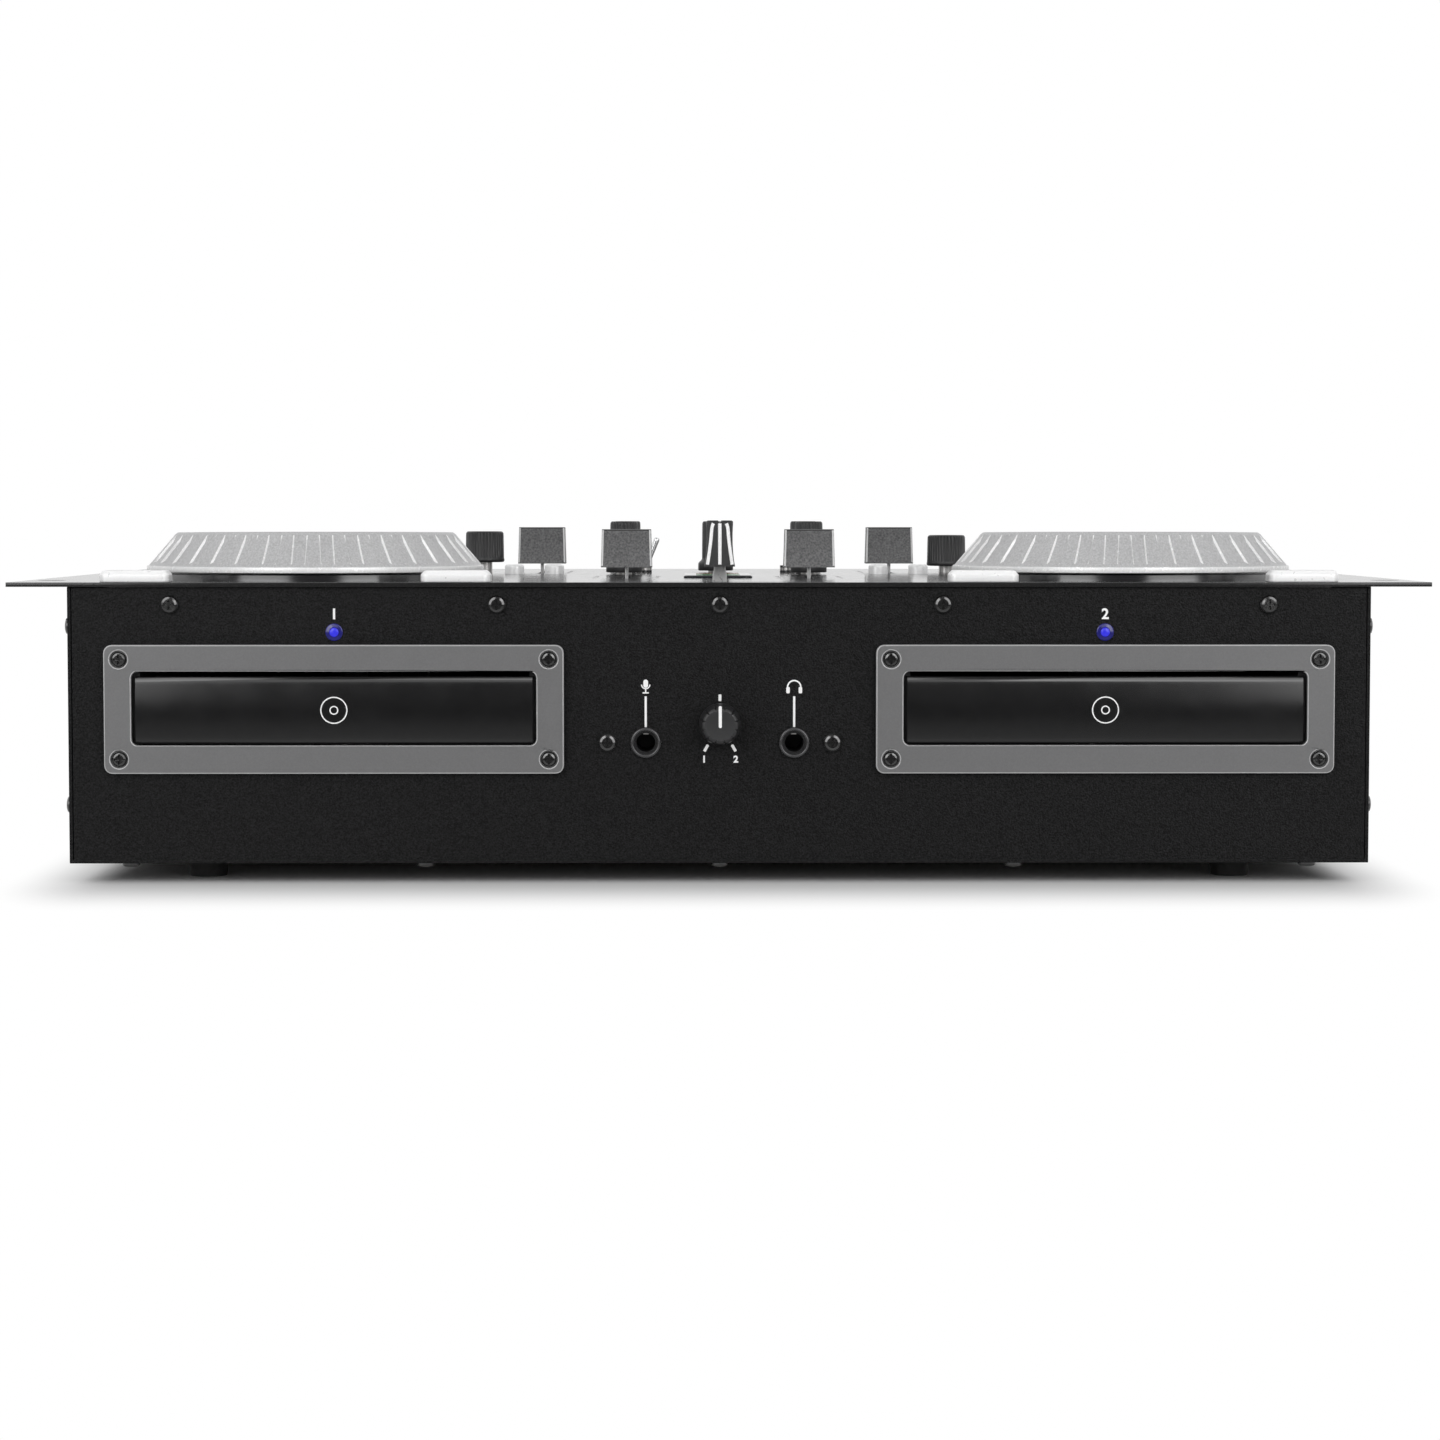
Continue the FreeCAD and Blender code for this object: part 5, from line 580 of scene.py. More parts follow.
def tray_front(side):
    """A front whose face swells smoothly, with rounded edges."""
    name = f"tray_front_{side}"
    x, _, z = centre_of(name)
    width, thickness, height = size_of(name)
    edge = thickness - FRONT_SWELL
    half = height / 2
    corner = [(half, 0), (half, edge - 0.7), (half - 0.1, edge - 0.3), (half - 0.35, edge - 0.05)]
    swell = [(step / 12 * (half - 0.02), thickness - FRONT_SWELL * (step / 12) ** 2)
             for step in range(-10, 11)]
    outline = [(-up, out) for up, out in corner] + swell + corner[::-1]
    shape = bmesh.new()
    rings = []
    end = width / 2
    for along, inset in ((-end, FRONT_END), (-end + FRONT_END, 0), (end - FRONT_END, 0), (end, FRONT_END)):
        rings.append([shape.verts.new((along * MM, -max(0, out - inset) * MM, up * MM))
                      for up, out in outline])
    skin(shape, rings)
    shape.faces.new(rings[0])
    shape.faces.new(rings[-1])
    place(shape, (x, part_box(name)[1].y, z))
    piece(f"tray_front_shell_{side}", shape, GLOSS, f"tray_{side}", [name], smooth=40)


# Knobs

SHAFT_RADIUS = 3
SHAFT_FOOT = -8.5
POINTER_RISE = 0.06
DENT_FIRST = 105
DENTS_EVERY = 30
DENT_HALF = 2.6
DENT_DEPTH = 0.5


def ribs(count, depth, low, high, share=0.5):
    """A wave of rounded flutes between two heights."""
    def wave(angle, radius, height):
        if not low <= height <= high or radius < SHAFT_RADIUS:
            return 0
        return depth * max(0, math.cos(angle * count)) ** share
    return wave


def knob_shaft(name, centre, low, high, body, towards=None):
    """The metal shaft that a knob sits on."""
    profile = [(0, low), (SHAFT_RADIUS, low), (SHAFT_RADIUS, high), (0, high)]
    shape = turned(profile, 40, at=centre, turn=towards)
    piece(name, shape, STEEL, body)


def pointer(name, width, length, at, body):
    """A thin white line, laid on a knob's top."""
    shape = slab(rectangle(width, length, width * 0.3), POINTER_RISE, at=at)
    piece(name, shape, INK, body)


def track_knob(side):
    """A wide knob with fine flutes, a skirt and a dished top."""
    body = f"track_knob_{side}"
    x, y, _ = centre_of(body)
    top = top_of(body)
    foot = top - 12.3
    profile = [(0, foot), (6.8, foot), (7.4, foot + 0.1), (7.8, foot + 0.5), (7.8, foot + 1.3),
               (7.65, foot + 1.6), (7.62, foot + 2.2), (7.5, top - 1.5), (7.45, top - 0.9), (7.25, top - 0.4),
               (6.9, top - 0.1), (6.4, top), (5.6, top), (5.3, top - 0.3), (0, top - 0.3)]
    shape = turned(profile, 36 * 8, ribs(36, 0.4, foot + 1.7, top - 0.8), at=(x, y, PANEL_TOP))
    piece(f"track_knob_cap_{side}", shape, KNOB, body, [body], smooth=50)
    knob_shaft(f"track_knob_shaft_{side}", (x, y, PANEL_TOP), SHAFT_FOOT, foot, body)
    pointer(f"track_knob_line_{side}", 0.9, 4.6, (x, y + 2.6 * MM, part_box(body)[1].z - 0.3 * MM), body)


def mixer_knob(name):
    """A slim fluted knob on a round skirt, with a line over its top and down its side."""
    x, y, _ = centre_of(name)
    top = top_of(name)
    foot = 0.7
    profile = [(0, foot), (6.7, foot), (7.0, foot + 0.3), (7.0, foot + 2.6), (6.85, foot + 3.1),
               (6.3, foot + 3.7), (5.8, foot + 4.1), (5.5, foot + 4.7), (5.45, foot + 5.2), (5.35, top - 1.4),
               (5.3, top - 0.8), (5.1, top - 0.25), (4.7, top), (4.2, top), (3.9, top - 0.25),
               (0, top - 0.25)]
    shape = turned(profile, 24 * 12, ribs(24, 0.3, foot + 5, top - 0.5, 0.7), at=(x, y, PANEL_TOP))
    piece(f"{name}_cap", shape, KNOB, name, [name], smooth=50)
    knob_shaft(f"{name}_shaft", (x, y, PANEL_TOP), SHAFT_FOOT, foot, name)
    pointer(f"{name}_line", 1.0, 4.4, (x, y + 2.0 * MM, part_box(name)[1].z - 0.25 * MM), name)
    shape = slab(rectangle(1.0, top - 7), 0.12, at=(x, y + 5.35 * MM, PANEL_TOP + (top / 2 + 2.4) * MM),
                 turn=TOWARDS_BACK)
    piece(f"{name}_side_line", shape, INK, name)


def cue_mix_knob():
    """The knob on the front: a cone with small dents round it and a white pointer."""
    name = "cue_mix_knob"
    x, _, z = centre_of(name)
    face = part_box(name)[0].y
    foot = -12.2
    profile = [(0, foot), (6.7, foot), (7.0, foot + 0.3), (7.1, foot + 0.8), (7.1, foot + 3.0),
               (7.0, foot + 3.5), (6.75, foot + 4.2), (6.35, -1.4), (6.2, -0.9), (5.95, -0.4), (5.5, -0.08),
               (5.1, 0), (4.9, -0.04), (0, -0.12)]

    def dents(angle, radius, height):
        if radius < 5 or height < -9.5:
            return 0
        near = abs((math.degrees(angle) - DENT_FIRST + DENTS_EVERY / 2) % DENTS_EVERY - DENTS_EVERY / 2)
        return DENT_DEPTH * max(0, 1 - near / DENT_HALF)

    shape = turned(profile, 360, dents, at=(x, face, z), turn=TOWARDS_FRONT)
    piece("cue_mix_knob_cap", shape, CUE_GREY, name, [name], smooth=50)
    shape = slab(rectangle(1.05, 7.4, 0.45), 0.12, at=(x, face + 0.12 * MM, z + 3.0 * MM), turn=TOWARDS_FRONT)
    piece("cue_mix_knob_line", shape, INK, name)
    knob_shaft("cue_mix_knob_shaft", (x, FACE, z), -8, 0.8, name, TOWARDS_FRONT)


# Faders

# Each cap's length and height
CHANNEL_CAP = (18.7, 13.9)
PITCH_CAP = (19.0, 14.5)
CROSS_CAP = (19.0, 15.7)
TOP_BAND = 0.6
EDGE_STRIP = 0.75
CAP_TAPER = 0.4
NOTCH_HALF = 0.7
NOTCH_DEPTH = 0.6
LEVER_FOOT = 8.5


def cap_profile(height):
    """Half widths and heights up one side of a fader cap."""
    return [(5.15, 0), (5.15, 0.5), (5.05, 0.8), (4.9, 1.6), (4.72, 3), (4.55, 4.6), (4.42, 6.4), (4.35, 8.3),
            (4.35, height - 4.6), (4.4, height - 3), (4.46, height - 1.8), (4.5, height - 0.95),
            (4.5, height - TOP_BAND), (4.46, height - 0.35), (4.25, height - 0.1), (3.9, height),
            (NOTCH_HALF, height), (0.4, height - NOTCH_DEPTH)]


def fader_cap(name, length, height, at, along_y, finish):
    """A waisted finger grip with bevelled upright edges, painted near-white as a highlight except on the
    crossfader, and a line in a notch on top.
    """
    one = cap_profile(height)
    outline = one + [(-x, z) for x, z in reversed(one)]
    shape = bmesh.new()
    rings = []
    half = length / 2
    for reach, share in ((-half, 0.87), (-half + 0.12, 0.885), (-half + EDGE_STRIP, 1),
                         (half - EDGE_STRIP, 1), (half - 0.12, 0.885), (half, 0.87)):
        ring = []
        for across, up in outline:
            along = reach * (1 - CAP_TAPER / half * up / height)
            ring.append(shape.verts.new((along * MM, across * share * MM, up * MM)))
        rings.append(ring)

    def paint(face, band, index):
        low, high = sorted((outline[index][1], outline[(index + 1) % len(outline)][1]))
        upright = high - low > 0.01 and abs(outline[index][0]) > 2
        # Upright faces of the end bevels take the painted highlight; the rounded top band takes black.
        if band in (1, 3) and upright and low > 0.4 and high < height - 0.3:
            face.material_index = 1
        elif band == 2 and upright and low > height - TOP_BAND - 0.01:
            face.material_index = 2

    skin(shape, rings, paint)
    shape.faces.new(rings[0])
    shape.faces.new(rings[-1])
    turn = Euler((0, 0, math.radians(90))) if along_y else None
    place(shape, at, turn)
    cap = piece(f"{name}_cap", shape, finish, name, [name], smooth=32)
    cap.data.materials.append((finish if along_y else PAINTED_EDGE_HIGHLIGHT).material)
    cap.data.materials.append(CAP_BLACK.material)
    line = slab(rectangle(length - 2.2, 0.6), 0.12)
    place(line, (at[0], at[1], at[2] + (height - NOTCH_DEPTH) * MM), turn)
    piece(f"{name}_line", line, INK, name)


def crossfader_ends(length, height, at):
    """The raised ridges on both ends of the crossfader's cap, coloured near-white as a painted highlight."""
    side_path = [(2.2, height - 1.0), (2.7, height - 2), (2.9, height - 5), (3.3, height - 9), (4.2, 0.7)]
    paths = ([(0, height - 1.0), (0, height - 5), (0, height - 9), (0, 0.7)],
             [(-across, up) for across, up in side_path], side_path)
    for end, word in ((-1, "front"), (1, "back")):
        for index, path in enumerate(paths):
            bead = swept([(across, -end * (0.1 + CAP_TAPER * up / height), up) for across, up in path], 0.6)
            bmesh.ops.scale(bead, vec=(1, 0.55, 1), verts=bead.verts)
            place(bead, (at[0], at[1] + end * length / 2 * MM, at[2]))
            piece(f"crossfader_ridge_{index}_{word}", bead, PAINTED_EDGE_HIGHLIGHT, "crossfader", smooth=60)


def mesh_of(curve):
    """A curve's data as a bmesh; the curve is removed."""
    holder = bpy.data.objects.new("path", curve)
    mesh = bpy.data.meshes.new_from_object(holder)
    shape = bmesh.new()
    shape.from_mesh(mesh)
    bpy.data.objects.remove(holder)
    bpy.data.curves.remove(curve)
    bpy.data.meshes.remove(mesh)
    return shape


def swept(points, radius):
    """A round bead in millimetres along a smooth line through points."""
    curve = bpy.data.curves.new("path", "CURVE")
    curve.dimensions = "3D"
    spline = curve.splines.new("NURBS")
    spline.points.add(len(points) - 1)
    for point, (x, y, z) in zip(spline.points, points):
        point.co = (x * MM, y * MM, z * MM, 1)
    spline.order_u = 3
    spline.use_endpoint_u = True
    curve.resolution_u = 6
    curve.bevel_depth = radius * MM
    curve.bevel_resolution = 3
    curve.use_fill_caps = True
    return mesh_of(curve)


def fader(name, length, height, along_y=False):
    """A cap on its lever. The crossfader's cap lies along Y and sits on a wide flared blade."""
    x, y, _ = centre_of(name)
    lift = top_of(name) - height
    at = (x, y, PANEL_TOP + lift * MM)
    fader_cap(name, length, height, at, along_y, CAP_BLACK if along_y else CAP)
    if along_y:
        blade = [(-2.4, -LEVER_FOOT), (2.4, -LEVER_FOOT), (2.4, 2.6), (2.0, 4.2), (2.0, lift + 0.4),
                 (-2.0, lift + 0.4), (-2.0, 4.2), (-2.4, 2.6)]
        neck = slab(blade, 1.2, at=(x, y + 0.6 * MM, PANEL_TOP), turn=TOWARDS_FRONT)
        crossfader_ends(length, height, at)
    else:
        neck = slab(rectangle(1.2, 4.8, 0.25), lift + LEVER_FOOT, at=(x, y, PANEL_TOP - LEVER_FOOT * MM))
    soften(piece(f"{name}_lever", neck, LEVER, name), 0.25)


# Toggles and buttons

TOGGLE_LEAN = 21.0
TOGGLE_X = 28.5


def input_toggle(side, sign):
    """A tapered bright lever with a round tip, in a threaded bush."""
    name = f"input_toggle_{side}"
    foot = Vector((sign * TOGGLE_X * MM, centre_of(name)[1], PANEL_TOP))
    profile = [(0, -4), (0.8, -4), (0.8, 0), (1.1, 12), (1.15, 13.8), (1.05, 14.5), (0.7, 14.9), (0, 15)]
    shape = turned(profile, 32, at=foot, turn=Euler((0, math.radians(TOGGLE_LEAN), 0)))
    piece(f"{name}_lever", shape, CHROME, name, [name], smooth=60)
    nut = turned([(2.65, 0.05), (3.1, 0.05), (3.15, 0.15), (3.15, 1.0), (3.0, 1.1), (3.12, 1.25),
                  (3.0, 1.45), (3.12, 1.65), (3.0, 1.85), (3.12, 2.05), (3.12, 2.8), (2.95, 3.0),
                  (2.7, 3.0), (2.65, 0.05)], 48, at=foot)
    piece(f"{name}_bush", nut, NUT, "root", smooth=30)


def bend_button(name):
    """A small domed button."""
    x, y, _ = centre_of(name)
    foot = (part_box(name)[0].z - PANEL_TOP) / MM
    top = top_of(name)
    profile = [(0, foot), (3.75, foot), (3.75, top - 1.2), (3.68, top - 0.75), (3.45, top - 0.4),
               (3.05, top - 0.16), (2.4, top - 0.04), (1.4, top), (0, top)]
    shape = turned(profile, 64, at=(x, y, PANEL_TOP))
    piece(f"{name}_cap", shape, PAD, name, [name], smooth=50)


# Front fittings

LAMP_RADIUS = 3.0
JACK_X = 25.2
JACK_DROP = 54.4
LENS = [(0, -3), (2.5, -3), (2.5, 0), (2.95, 0.02), (LAMP_RADIUS, 0.2), (2.9, 0.42), (2.6, 0.5), (2.2, 0.52),
        (1.9, 0.6), (1.6, 0.62), (0, 0.55)]
LENS_CORE = [(0, 0.5), (1.6, 0.52), (1.5, 0.72), (1.2, 0.88), (0.7, 0.97), (0, 1.0)]
JACK_NUT = [(3.25, -2), (3.25, 0.3), (3.5, 0.65), (4.2, 1.55), (4.4, 1.75), (4.6, 1.8), (4.85, 1.72),
            (5.15, 1.4), (5.3, 1.0), (5.35, 0.5), (5.35, 0.0), (4.5, 0.0), (4.5, -2), (3.25, -2)]
JACK_LINER = [(3.25, 0.2), (3.2, 0.15), (3.2, -22), (0, -22), (0, -23), (4.4, -23), (4.4, -2.1), (3.25, -2.0),
              (3.25, 0.2)]


def status_lamp(side, sign):
    """A round blue lens in a thin rim, lit at its middle."""
    x = sign * (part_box("status_lamps")[1].x - LAMP_RADIUS * MM)
    at = (x, FACE, centre_of("status_lamps")[2])
    lens = turned(LENS, 48, at=at, turn=TOWARDS_FRONT)
    piece(f"status_lamp_lens_{side}", lens, LAMP_RIM, "root", ["status_lamps"], smooth=60)
    core = turned(LENS_CORE, 40, at=at, turn=TOWARDS_FRONT)
    piece(f"status_lamp_core_{side}", core, LAMP_CORE, "root", smooth=60)


def front_jack(name, sign):
    """A ring nut with a conical face round a dark bore with its spring contact."""
    x = sign * JACK_X * MM
    z = PANEL_TOP - JACK_DROP * MM
    nut = turned(JACK_NUT, 72, at=(x, FACE, z), turn=TOWARDS_FRONT)
    piece(f"{name}_nut", nut, NUT, "root", ["front_jacks"])
    liner = turned(JACK_LINER, 48, at=(x, FACE, z), turn=TOWARDS_FRONT)
    piece(f"{name}_liner", liner, TRAY, "root")
    contact = slab(rectangle(1.8, 0.4), 10)
    place(contact, (x, FACE + 6 * MM, z + 2.6 * MM), Euler((math.radians(-82), 0, 0)))
    piece(f"{name}_contact", contact, STEEL, "root")


# White print

INK_RISE = 0.03


def arc(outer, inner, start, end, centre=(0, 0), count=24):
    """An arc of a ring as one outline."""
    angles = [math.radians(start + (end - start) * k / count) for k in range(count + 1)]
    places = [(outer, a) for a in angles] + [(inner, a) for a in reversed(angles)]
    return [(centre[0] + r * math.cos(a), centre[1] + r * math.sin(a)) for r, a in places]


def flat_shapes(name, outlines, at, turn=None, finish=INK, body="root"):
    """Several flat shapes in millimetres as one thin piece."""
    shape = place(merged(*[slab(outline, INK_RISE) for outline in outlines]), at, turn)
    piece(name, shape, finish, body)


MICROPHONE = (rectangle(1.6, 2.8, 0.78, (0, 1.0)), arc(1.6, 1.2, 180, 360, (0, 0.7)),
              rectangle(0.45, 1.2, centre=(0, -1.4)), rectangle(2.1, 0.45, centre=(0, -2.1)))
HEADPHONE = (arc(2.5, 2.0, 0, 180, (0, -0.2)), rectangle(1.2, 2.2, 0.4, (-2.1, -1.2)),
             rectangle(1.2, 2.2, 0.4, (2.1, -1.2)))
PLAY_SIGN = ([(-4.6, -2.4), (-0.4, 0), (-4.6, 2.4)], rectangle(1.1, 4.8, centre=(1.6, 0)),
             rectangle(1.1, 4.8, centre=(3.9, 0)))
CUE_SIGN = (rectangle(1.1, 4.8, centre=(-3.2, 0)), [(3.2, -2.4), (3.2, 2.4), (-1.8, 0)])
DIAL_RADIUS = 9.7


def fader_scale(x, y, travel, gap, along_x=False):
    """Ticks on both sides of a fader's slot, longer at its ends and middle."""
    marks = []
    for step in range(11):
        along = travel * (step / 10 - 0.5)
        length = 2.4 if step % 5 == 0 else 1.5
        for sign in (-1, 1):
            across = sign * (gap + length / 2)
            if along_x:
                marks.append(rectangle(0.4, length, centre=(x + along, y + across)))
            else:
                marks.append(rectangle(length, 0.4, centre=(x + across, y + along)))
    return marks


def dial_marks(x, y):
    """Dots round a knob, larger at its ends and middle."""
    marks = []
    for step in range(11):
        angle = math.radians(-150 + 30 * step)
        size = 0.65 if step % 5 == 0 else 0.42
        place_at = (x + DIAL_RADIUS * math.sin(angle), y + DIAL_RADIUS * math.cos(angle))
        marks.append(circle(size, place_at, 14))
    return marks


def middle_of(name):
    """A node's centre in the plan, in millimetres."""
    x, y, _ = centre_of(name)
    return x / MM, y / MM


def sign_marks(x, y, plus):
    """A minus or plus sign."""
    bar = rectangle(2.6, 0.5, centre=(x, y))
    return [bar, rectangle(0.5, 2.6, centre=(x, y))] if plus else [bar]


def top_print():
    """Scales, dials and signs printed on the top plate and on the buttons."""
    at = (0, 0, PANEL_TOP)
    flat_shapes("crossfader_scale", fader_scale(*middle_of("crossfader"), 45, 10.6, True), at)
    for name in ("master_knob", *both("tone_knob", "gain_knob")):
        flat_shapes(f"{name}_dial", dial_marks(*middle_of(name)), at)
    for side, _ in SIDES:
        flat_shapes(f"channel_scale_{side}", fader_scale(*middle_of(f"channel_fader_{side}"), 45, 10.4), at)
        flat_shapes(f"pitch_scale_{side}", fader_scale(*middle_of(f"pitch_fader_{side}"), 60, 10.2), at)
        signs = []
        for word in ("minus", "plus"):
            x, y = middle_of(f"bend_{word}_button_{side}")
            signs += sign_marks(x, y - 7, word == "plus")
        x, y = middle_of(f"track_knob_{side}")
        signs += sign_marks(x - 5, y - 12, False) + sign_marks(x + 5, y - 12, True)
        flat_shapes(f"plus_minus_signs_{side}", signs, at)
        for button, outlines in (("play", PLAY_SIGN), ("cue", CUE_SIGN)):
            name = f"{button}_button_{side}"
            x, y = middle_of(name)
            flat_shapes(f"{name}_sign", outlines, (x * MM, y * MM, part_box(name)[1].z), None, CAP_BLACK, name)


# Readouts

SEGMENTS = {"0": "abcdef", "1": "bc", "2": "abged", "3": "abgcd", "7": "abc"}
DIGIT_SIZE = (6, 13)
DIGIT_BAR = 1.1
DIGIT_UP = 5
DISPLAY_HALF = (46, 23)
METER_HALF = 30


def digit(character, x, y):
    """A seven-segment digit about a centre."""
    across, up = DIGIT_SIZE[0] / 2, DIGIT_SIZE[1] / 2
    bars = {"a": (0, up), "g": (0, 0), "d": (0, -up), "f": (-across, up / 2), "b": (across, up / 2),
            "e": (-across, -up / 2), "c": (across, -up / 2)}
    outlines = []
    for key in SEGMENTS[character]:
        dx, dy = bars[key]
        long = DIGIT_SIZE[0] - DIGIT_BAR if key in "agd" else DIGIT_BAR
        thick = DIGIT_BAR if key in "agd" else up - DIGIT_BAR
        outlines.append(rectangle(long, thick, 0.3, (x + dx, y + dy), 2))
    return outlines


def readout(side, sign):
    """A track number, a time and a row of blocks, shown in a deck's window."""
    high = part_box("display_windows")[1]
    deck = "1" if sign < 0 else "2"
    shapes = []
    for across, character in ((-34, "0"), (-25, deck), (-6, "0"), (3, "3"), (17, "2"), (26, "7")):
        shapes += digit(character, across, DIGIT_UP)
    shapes += [circle(0.7, (10, up), 16) for up in (DIGIT_UP + 3, DIGIT_UP - 3)]
    shapes += [rectangle(3.6, 2.6, 0.3, (-36 + 4.8 * k, -12)) for k in range(5)]
    shapes += [rectangle(3.6, 0.5, centre=(-36 + 4.8 * k, -13)) for k in range(5, 16)]
    at = (sign * (high.x - DISPLAY_HALF[0] * MM), high.y - DISPLAY_HALF[1] * MM, high.z)
    flat_shapes(f"display_readout_{side}", shapes, at, None, DIGITS, "root")


def level_meter():
    """Two columns of segments in the middle window."""
    low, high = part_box("display_windows")
    bands = (("green", METER_GREEN, 0, 8), ("amber", METER_AMBER, 8, 11), ("red", METER_RED, 11, 13))
    for word, finish, start, end in bands:
        shapes = [rectangle(6, 2.6, 0.3, (across, -25.2 + 4.2 * k), 2)
                  for across in (-5, 5) for k in range(start, end)]
        at = (0, low.y + METER_HALF * MM, high.z)
        flat_shapes(f"level_meter_{word}", shapes, at, None, finish, "root")


# Rear

PHONO_XS = [60 + 34 * k for k in range(5)]
PHONO_Z = 60.2
PHONO_APART = 11
PHONO_SHELL = [(3.35, 1.0), (3.35, 9.7), (3.6, 10), (3.95, 10), (4.2, 9.7), (4.2, 1.0)]
PHONO_INSERT = [(3.38, 0.8), (3.38, 8.4), (3.1, 8.7), (2.0, 8.7), (1.7, 8.4), (1.65, 1), (0, 1)]
PHONO_FLANGE = [(6.2, 0), (6.5, 0.1), (6.5, 0.9), (6.2, 1.2), (4.15, 1.2), (4.15, 0), (0, 0)]
INLET_X = -172.0
ROCKER_X = -130.0
POWER_Z = 48.2
POWER_MARK_UP = 17.5


def phono_sockets():
    """Nickel shells with white and red inserts on black flanges."""
    def rows(profile, segments, ups=(-1, 1)):
        return merged(*[turned(profile, segments, at=(x * MM, REAR, (PHONO_Z + up * PHONO_APART) * MM),
                               turn=TOWARDS_BACK) for x in PHONO_XS for up in ups])

    piece("phono_shells", rows(PHONO_SHELL, 40), CHROME, "root", ["rear_sockets"])
    piece("phono_flanges", rows(PHONO_FLANGE, 48), CAP_BLACK, "root")
    for up, word, finish in ((1, "white", IVORY), (-1, "red", RED)):
        piece(f"phono_inserts_{word}", rows(PHONO_INSERT, 36, (up,)), finish, "root")


def inlet_pins():
    """The three blades of the mains inlet."""
    pins = [slab(rectangle(2.1, 4.1, 0.4, (-(INLET_X + step * 7), POWER_Z + up * 2)), 10.1,
                 at=(0, REAR - 15 * MM, 0), turn=SEEN_FROM_BEHIND)
            for step, up in ((-1, -1), (0, 1), (1, -1))]
    piece("mains_inlet_pins", merged(*pins), BRASS, "root")


def rear_print():
    """A frame round each pair of sockets, and on and off marks by the power rocker."""
    frames = []
    for x in PHONO_XS:
        frames.append(slab(rectangle(19, 44, 2, (-x, PHONO_Z)), INK_RISE,
                           holes=[rectangle(18.2, 43.2, 1.6, (-x, PHONO_Z))]))
    off = (-ROCKER_X, POWER_Z - POWER_MARK_UP)
    frames.append(slab(rectangle(0.7, 3.2, centre=(-ROCKER_X, POWER_Z + POWER_MARK_UP)), INK_RISE))
    frames.append(slab(circle(1.7, off, 32), INK_RISE, holes=[circle(1.2, off, 32)]))
    shape = place(merged(*frames), (0, REAR, 0), SEEN_FROM_BEHIND)
    piece("rear_marks", shape, INK, "root")


# Front print

DECK_X = 130.7
DECK_NUMBER_DROP = 10.9
LEADER_DROP = 43.9
PICTOGRAM_DROP = 35.4
CUE_TICK_DROP = 39.2
CUE_SIDE_TICK = (4.7, 56.3)
CUE_NUMBER = (5.4, 60.2)


def number_piece(name, number, size, x, drop):
    """A number on the front, as a thin mesh, at a drop below the panel's top."""
    curve = bpy.data.curves.new(name, "FONT")
    curve.body = number
    curve.size = size * MM
    curve.align_x = "CENTER"
    curve.align_y = "CENTER"
    curve.extrude = INK_RISE / 2 * MM
    curve.offset = 0.13 * MM
    shape = place(mesh_of(curve), (x * MM, FACE, PANEL_TOP - drop * MM), TOWARDS_FRONT)
    piece(name, shape, INK, "root")


def print_front(name, outlines, x, drop):
    """Ink on the front, centred at a drop below the panel's top."""
    flat_shapes(name, outlines, (x * MM, FACE, PANEL_TOP - drop * MM), TOWARDS_FRONT)


def front_print():
    """Leader lines, dial ticks, numbers and pictograms on the front."""
    jacks = (("microphone", MICROPHONE, -JACK_X), ("headphone", HEADPHONE, JACK_X))
    for name, _, x in jacks:
        print_front(f"{name}_leader", [rectangle(0.75, 10.4)], x, LEADER_DROP)
    print_front("cue_mix_tick_top", [rectangle(1.0, 2.3, 0.3)], 0, CUE_TICK_DROP)
    for name, outlines, x in jacks:
        print_front(f"{name}_pictogram", outlines, x, PICTOGRAM_DROP)
    for side, sign in SIDES:
        shape = slab(rectangle(1.0, 2.6, 0.3), INK_RISE)
        turn = TOWARDS_FRONT.to_matrix() @ Euler((0, 0, math.radians(30 * sign))).to_matrix()
        across, drop = CUE_SIDE_TICK
        place(shape, (sign * across * MM, FACE, PANEL_TOP - drop * MM), turn.to_euler())
        piece(f"cue_mix_tick_{side}", shape, INK, "root")
        number = "1" if sign < 0 else "2"
        number_piece(f"cue_mix_number_{side}", number, 3.2, sign * CUE_NUMBER[0], CUE_NUMBER[1])
        number_piece(f"deck_number_{side}", number, 5.0, sign * DECK_X, DECK_NUMBER_DROP)


def tray_pictogram(side):
    """Two rings, as a plain sign for a disc, printed on the tray front."""
    node = f"tray_front_{side}"
    x, _, z = centre_of(node)
    for name, outer, inner in (("outer", 4.6, 4.2), ("inner", 1.5, 1.1)):
        shape = slab(circle(outer, count=56), INK_RISE, holes=[circle(inner, count=56)])
        place(shape, (x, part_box(node)[0].y + 0.02 * MM, z), TOWARDS_FRONT)
        piece(f"tray_disc_sign_{name}_{side}", shape, INK, f"tray_{side}")


# Stage, lamps and camera

CAMERA_PLACE = (-0.0095, -1.3382, 0.1245)
CAMERA_PITCH = 3.32
CAMERA_TURN = 0.46
IMAGE = 1440
FOCAL_PIXELS = 3496
SENSOR = 36.0
FLOOR_RADIUS = 30
FLOOR_COLOR = (0.93, 0.93, 0.93, 1)
SHADOW_HALF = (0.205, 0.155)
SHADOW_REACH = (0.04, 0.085)
FLOOR_DIMMING = (-0.8, 0.4, 0.08, 1.0)
WORLD_DIMMING = (-0.8, 0.0, 0.12, 1.0)
WORLD_LIGHT = 0.55
SOFTBOXES = (("softbox_top", (0, -1.95, 0.85), (0, -0.1, 0.06), 2.2, 0.7, 6),
             ("softbox_left", (-0.68, -1.13, 0.5), (0, -0.1, 0.1), 0.78, 0.9, 5.8),
             ("softbox_right", (0.68, -1.13, 0.5), (0, -0.1, 0.1), 0.78, 0.9, 5.8))


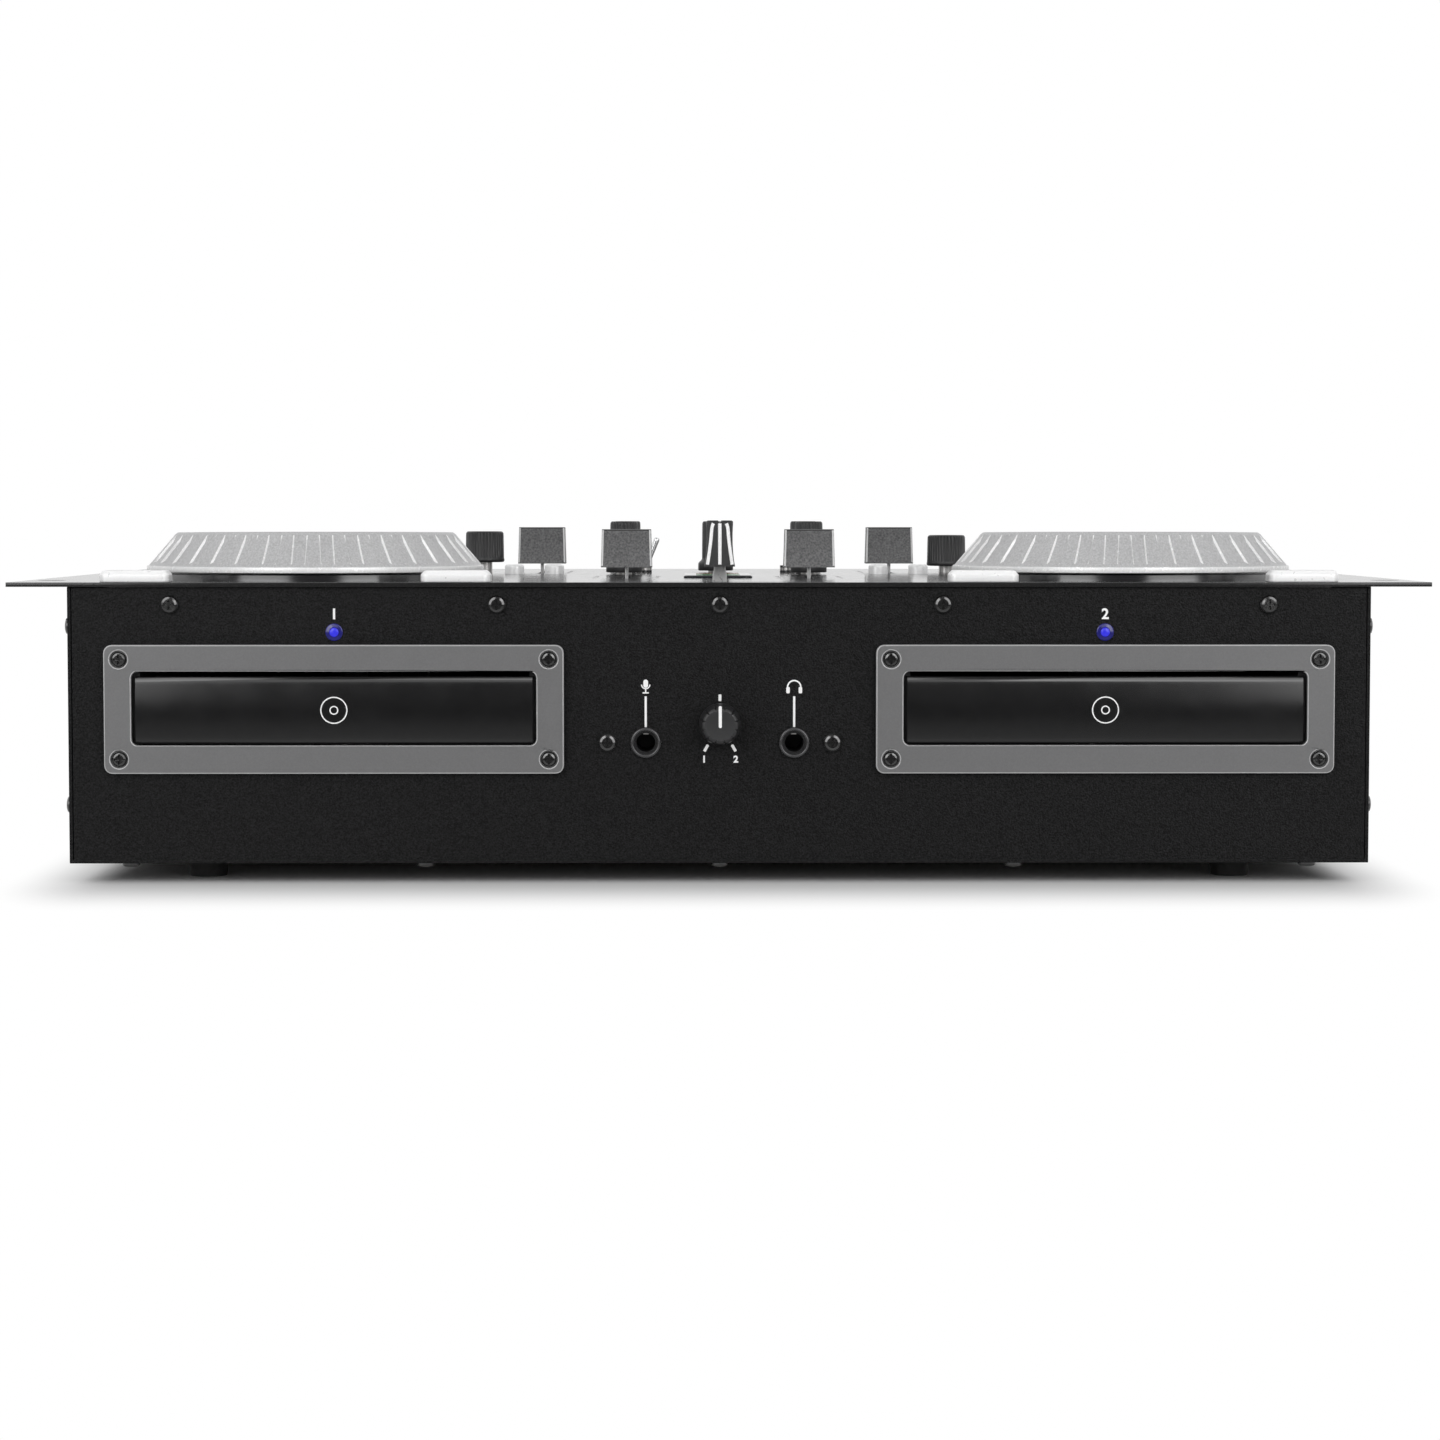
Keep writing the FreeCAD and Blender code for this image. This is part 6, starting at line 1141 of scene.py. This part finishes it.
def stage_material():
    """A pale floor that keeps the object's shadow close by and is plain white further out. In mirrors, the
    part of it in front of the object is dark, as the unlit side of a studio is."""
    material = bpy.data.materials.new("pale_floor")
    material.use_nodes = True
    nodes = Nodes(material.node_tree)
    nodes.tree.nodes.clear()
    point = nodes.node("ShaderNodeNewGeometry").outputs["Position"]
    split = nodes.node("ShaderNodeSeparateXYZ", {"Vector": point})
    beside = []
    for axis, half, reach in zip("XY", SHADOW_HALF, SHADOW_REACH):
        past = nodes.compute("SUBTRACT", nodes.compute("ABSOLUTE", split.outputs[axis]), half)
        share = nodes.compute("DIVIDE", nodes.compute("MAXIMUM", past, 0.0), reach)
        beside.append(nodes.compute("POWER", share, 2.0))
    away = nodes.compute("SQRT", nodes.compute("ADD", *beside))
    rays = nodes.node("ShaderNodeLightPath")
    share = nodes.compute("MULTIPLY", nodes.ramp(away, 0.0, 1.0), nodes.seen_rays(rays))
    dimming = nodes.ramp(split.outputs["Y"], *FLOOR_DIMMING)
    lit = nodes.compute("MAXIMUM", rays.outputs["Is Camera Ray"], dimming)

    matt = nodes.node("ShaderNodeBsdfDiffuse", {"Color": FLOOR_COLOR}).outputs["BSDF"]
    white = nodes.node("ShaderNodeEmission", {"Strength": lit}).outputs["Emission"]
    mix = nodes.node("ShaderNodeMixShader", {"Fac": share, 1: matt, 2: white})
    nodes.node("ShaderNodeOutputMaterial", {"Surface": mix.outputs["Shader"]})
    return material


def floor():
    """A wide round floor."""
    shape = bmesh.new()
    shape.faces.new([shape.verts.new((x, y, 0)) for x, y in circle(FLOOR_RADIUS, count=64)])
    mesh = bpy.data.meshes.new("floor")
    shape.to_mesh(mesh)
    shape.free()
    mesh.materials.append(stage_material())
    linked("floor", mesh)


def world():
    """White to the eye, softer as a light, and dimmer towards the dark side of the studio."""
    surroundings = bpy.data.worlds.new("studio")
    bpy.context.scene.world = surroundings
    surroundings.use_nodes = True
    nodes = Nodes(surroundings.node_tree)
    rays = nodes.node("ShaderNodeLightPath")
    direction = nodes.node("ShaderNodeTexCoord").outputs["Generated"]
    split = nodes.node("ShaderNodeSeparateXYZ", {"Vector": direction})
    dimming = nodes.ramp(split.outputs["Y"], *WORLD_DIMMING)
    light = nodes.ranged(nodes.seen_rays(rays), WORLD_LIGHT, 1.0, 0, 1)
    feeds = {"Factor": rays.outputs["Is Camera Ray"], "A": nodes.compute("MULTIPLY", dimming, light), "B": 1}
    strength = nodes.node("ShaderNodeMix", feeds, data_type="FLOAT").outputs["Result"]
    background = nodes.tree.nodes["Background"]
    nodes.feed(background.inputs["Strength"], strength)
    nodes.feed(background.inputs["Color"], (1, 1, 1, 1))


def lamps():
    """A tall soft box at each side in front, and a wide one higher up between them."""
    for name, place_at, target, width, height, power in SOFTBOXES:
        lamp = bpy.data.lights.new(name, "AREA")
        lamp.shape = "RECTANGLE"
        lamp.size = width
        lamp.size_y = height
        lamp.energy = power
        holder = linked(name, lamp)
        holder.location = place_at
        direction = Vector(target) - Vector(place_at)
        holder.rotation_euler = direction.to_track_quat("-Z", "Y").to_euler()
        holder.visible_camera = False


def camera():
    """The photograph's view."""
    view = bpy.data.cameras.new("camera")
    view.sensor_width = SENSOR
    view.lens = SENSOR * FOCAL_PIXELS / IMAGE
    view.clip_start = 0.01
    view.clip_end = 100
    holder = linked("camera", view)
    holder.location = CAMERA_PLACE
    holder.rotation_euler = (math.radians(90 - CAMERA_PITCH), 0, math.radians(-CAMERA_TURN))
    bpy.context.scene.camera = holder
    bpy.context.scene.view_settings.view_transform = "Standard"


camera()
world()
lamps()
floor()
dress_nodes()
for side, sign in SIDES:
    jog_wheel(side)
    tray_bezel(side)
    tray_front(side)
    readout(side, sign)
    tray_pictogram(side)
    track_knob(side)
    input_toggle(side, sign)
    status_lamp(side, sign)
    fader(f"channel_fader_{side}", *CHANNEL_CAP)
    fader(f"pitch_fader_{side}", *PITCH_CAP)
    for word in ("minus", "plus"):
        bend_button(f"bend_{word}_button_{side}")
    for word in ("tone", "gain"):
        mixer_knob(f"{word}_knob_{side}")
mixer_knob("master_knob")
fader("crossfader", *CROSS_CAP, along_y=True)
cue_mix_knob()
front_jack("microphone_jack", -1)
front_jack("headphone_jack", 1)
front_print()
top_print()
level_meter()
phono_sockets()
inlet_pins()
rear_print()
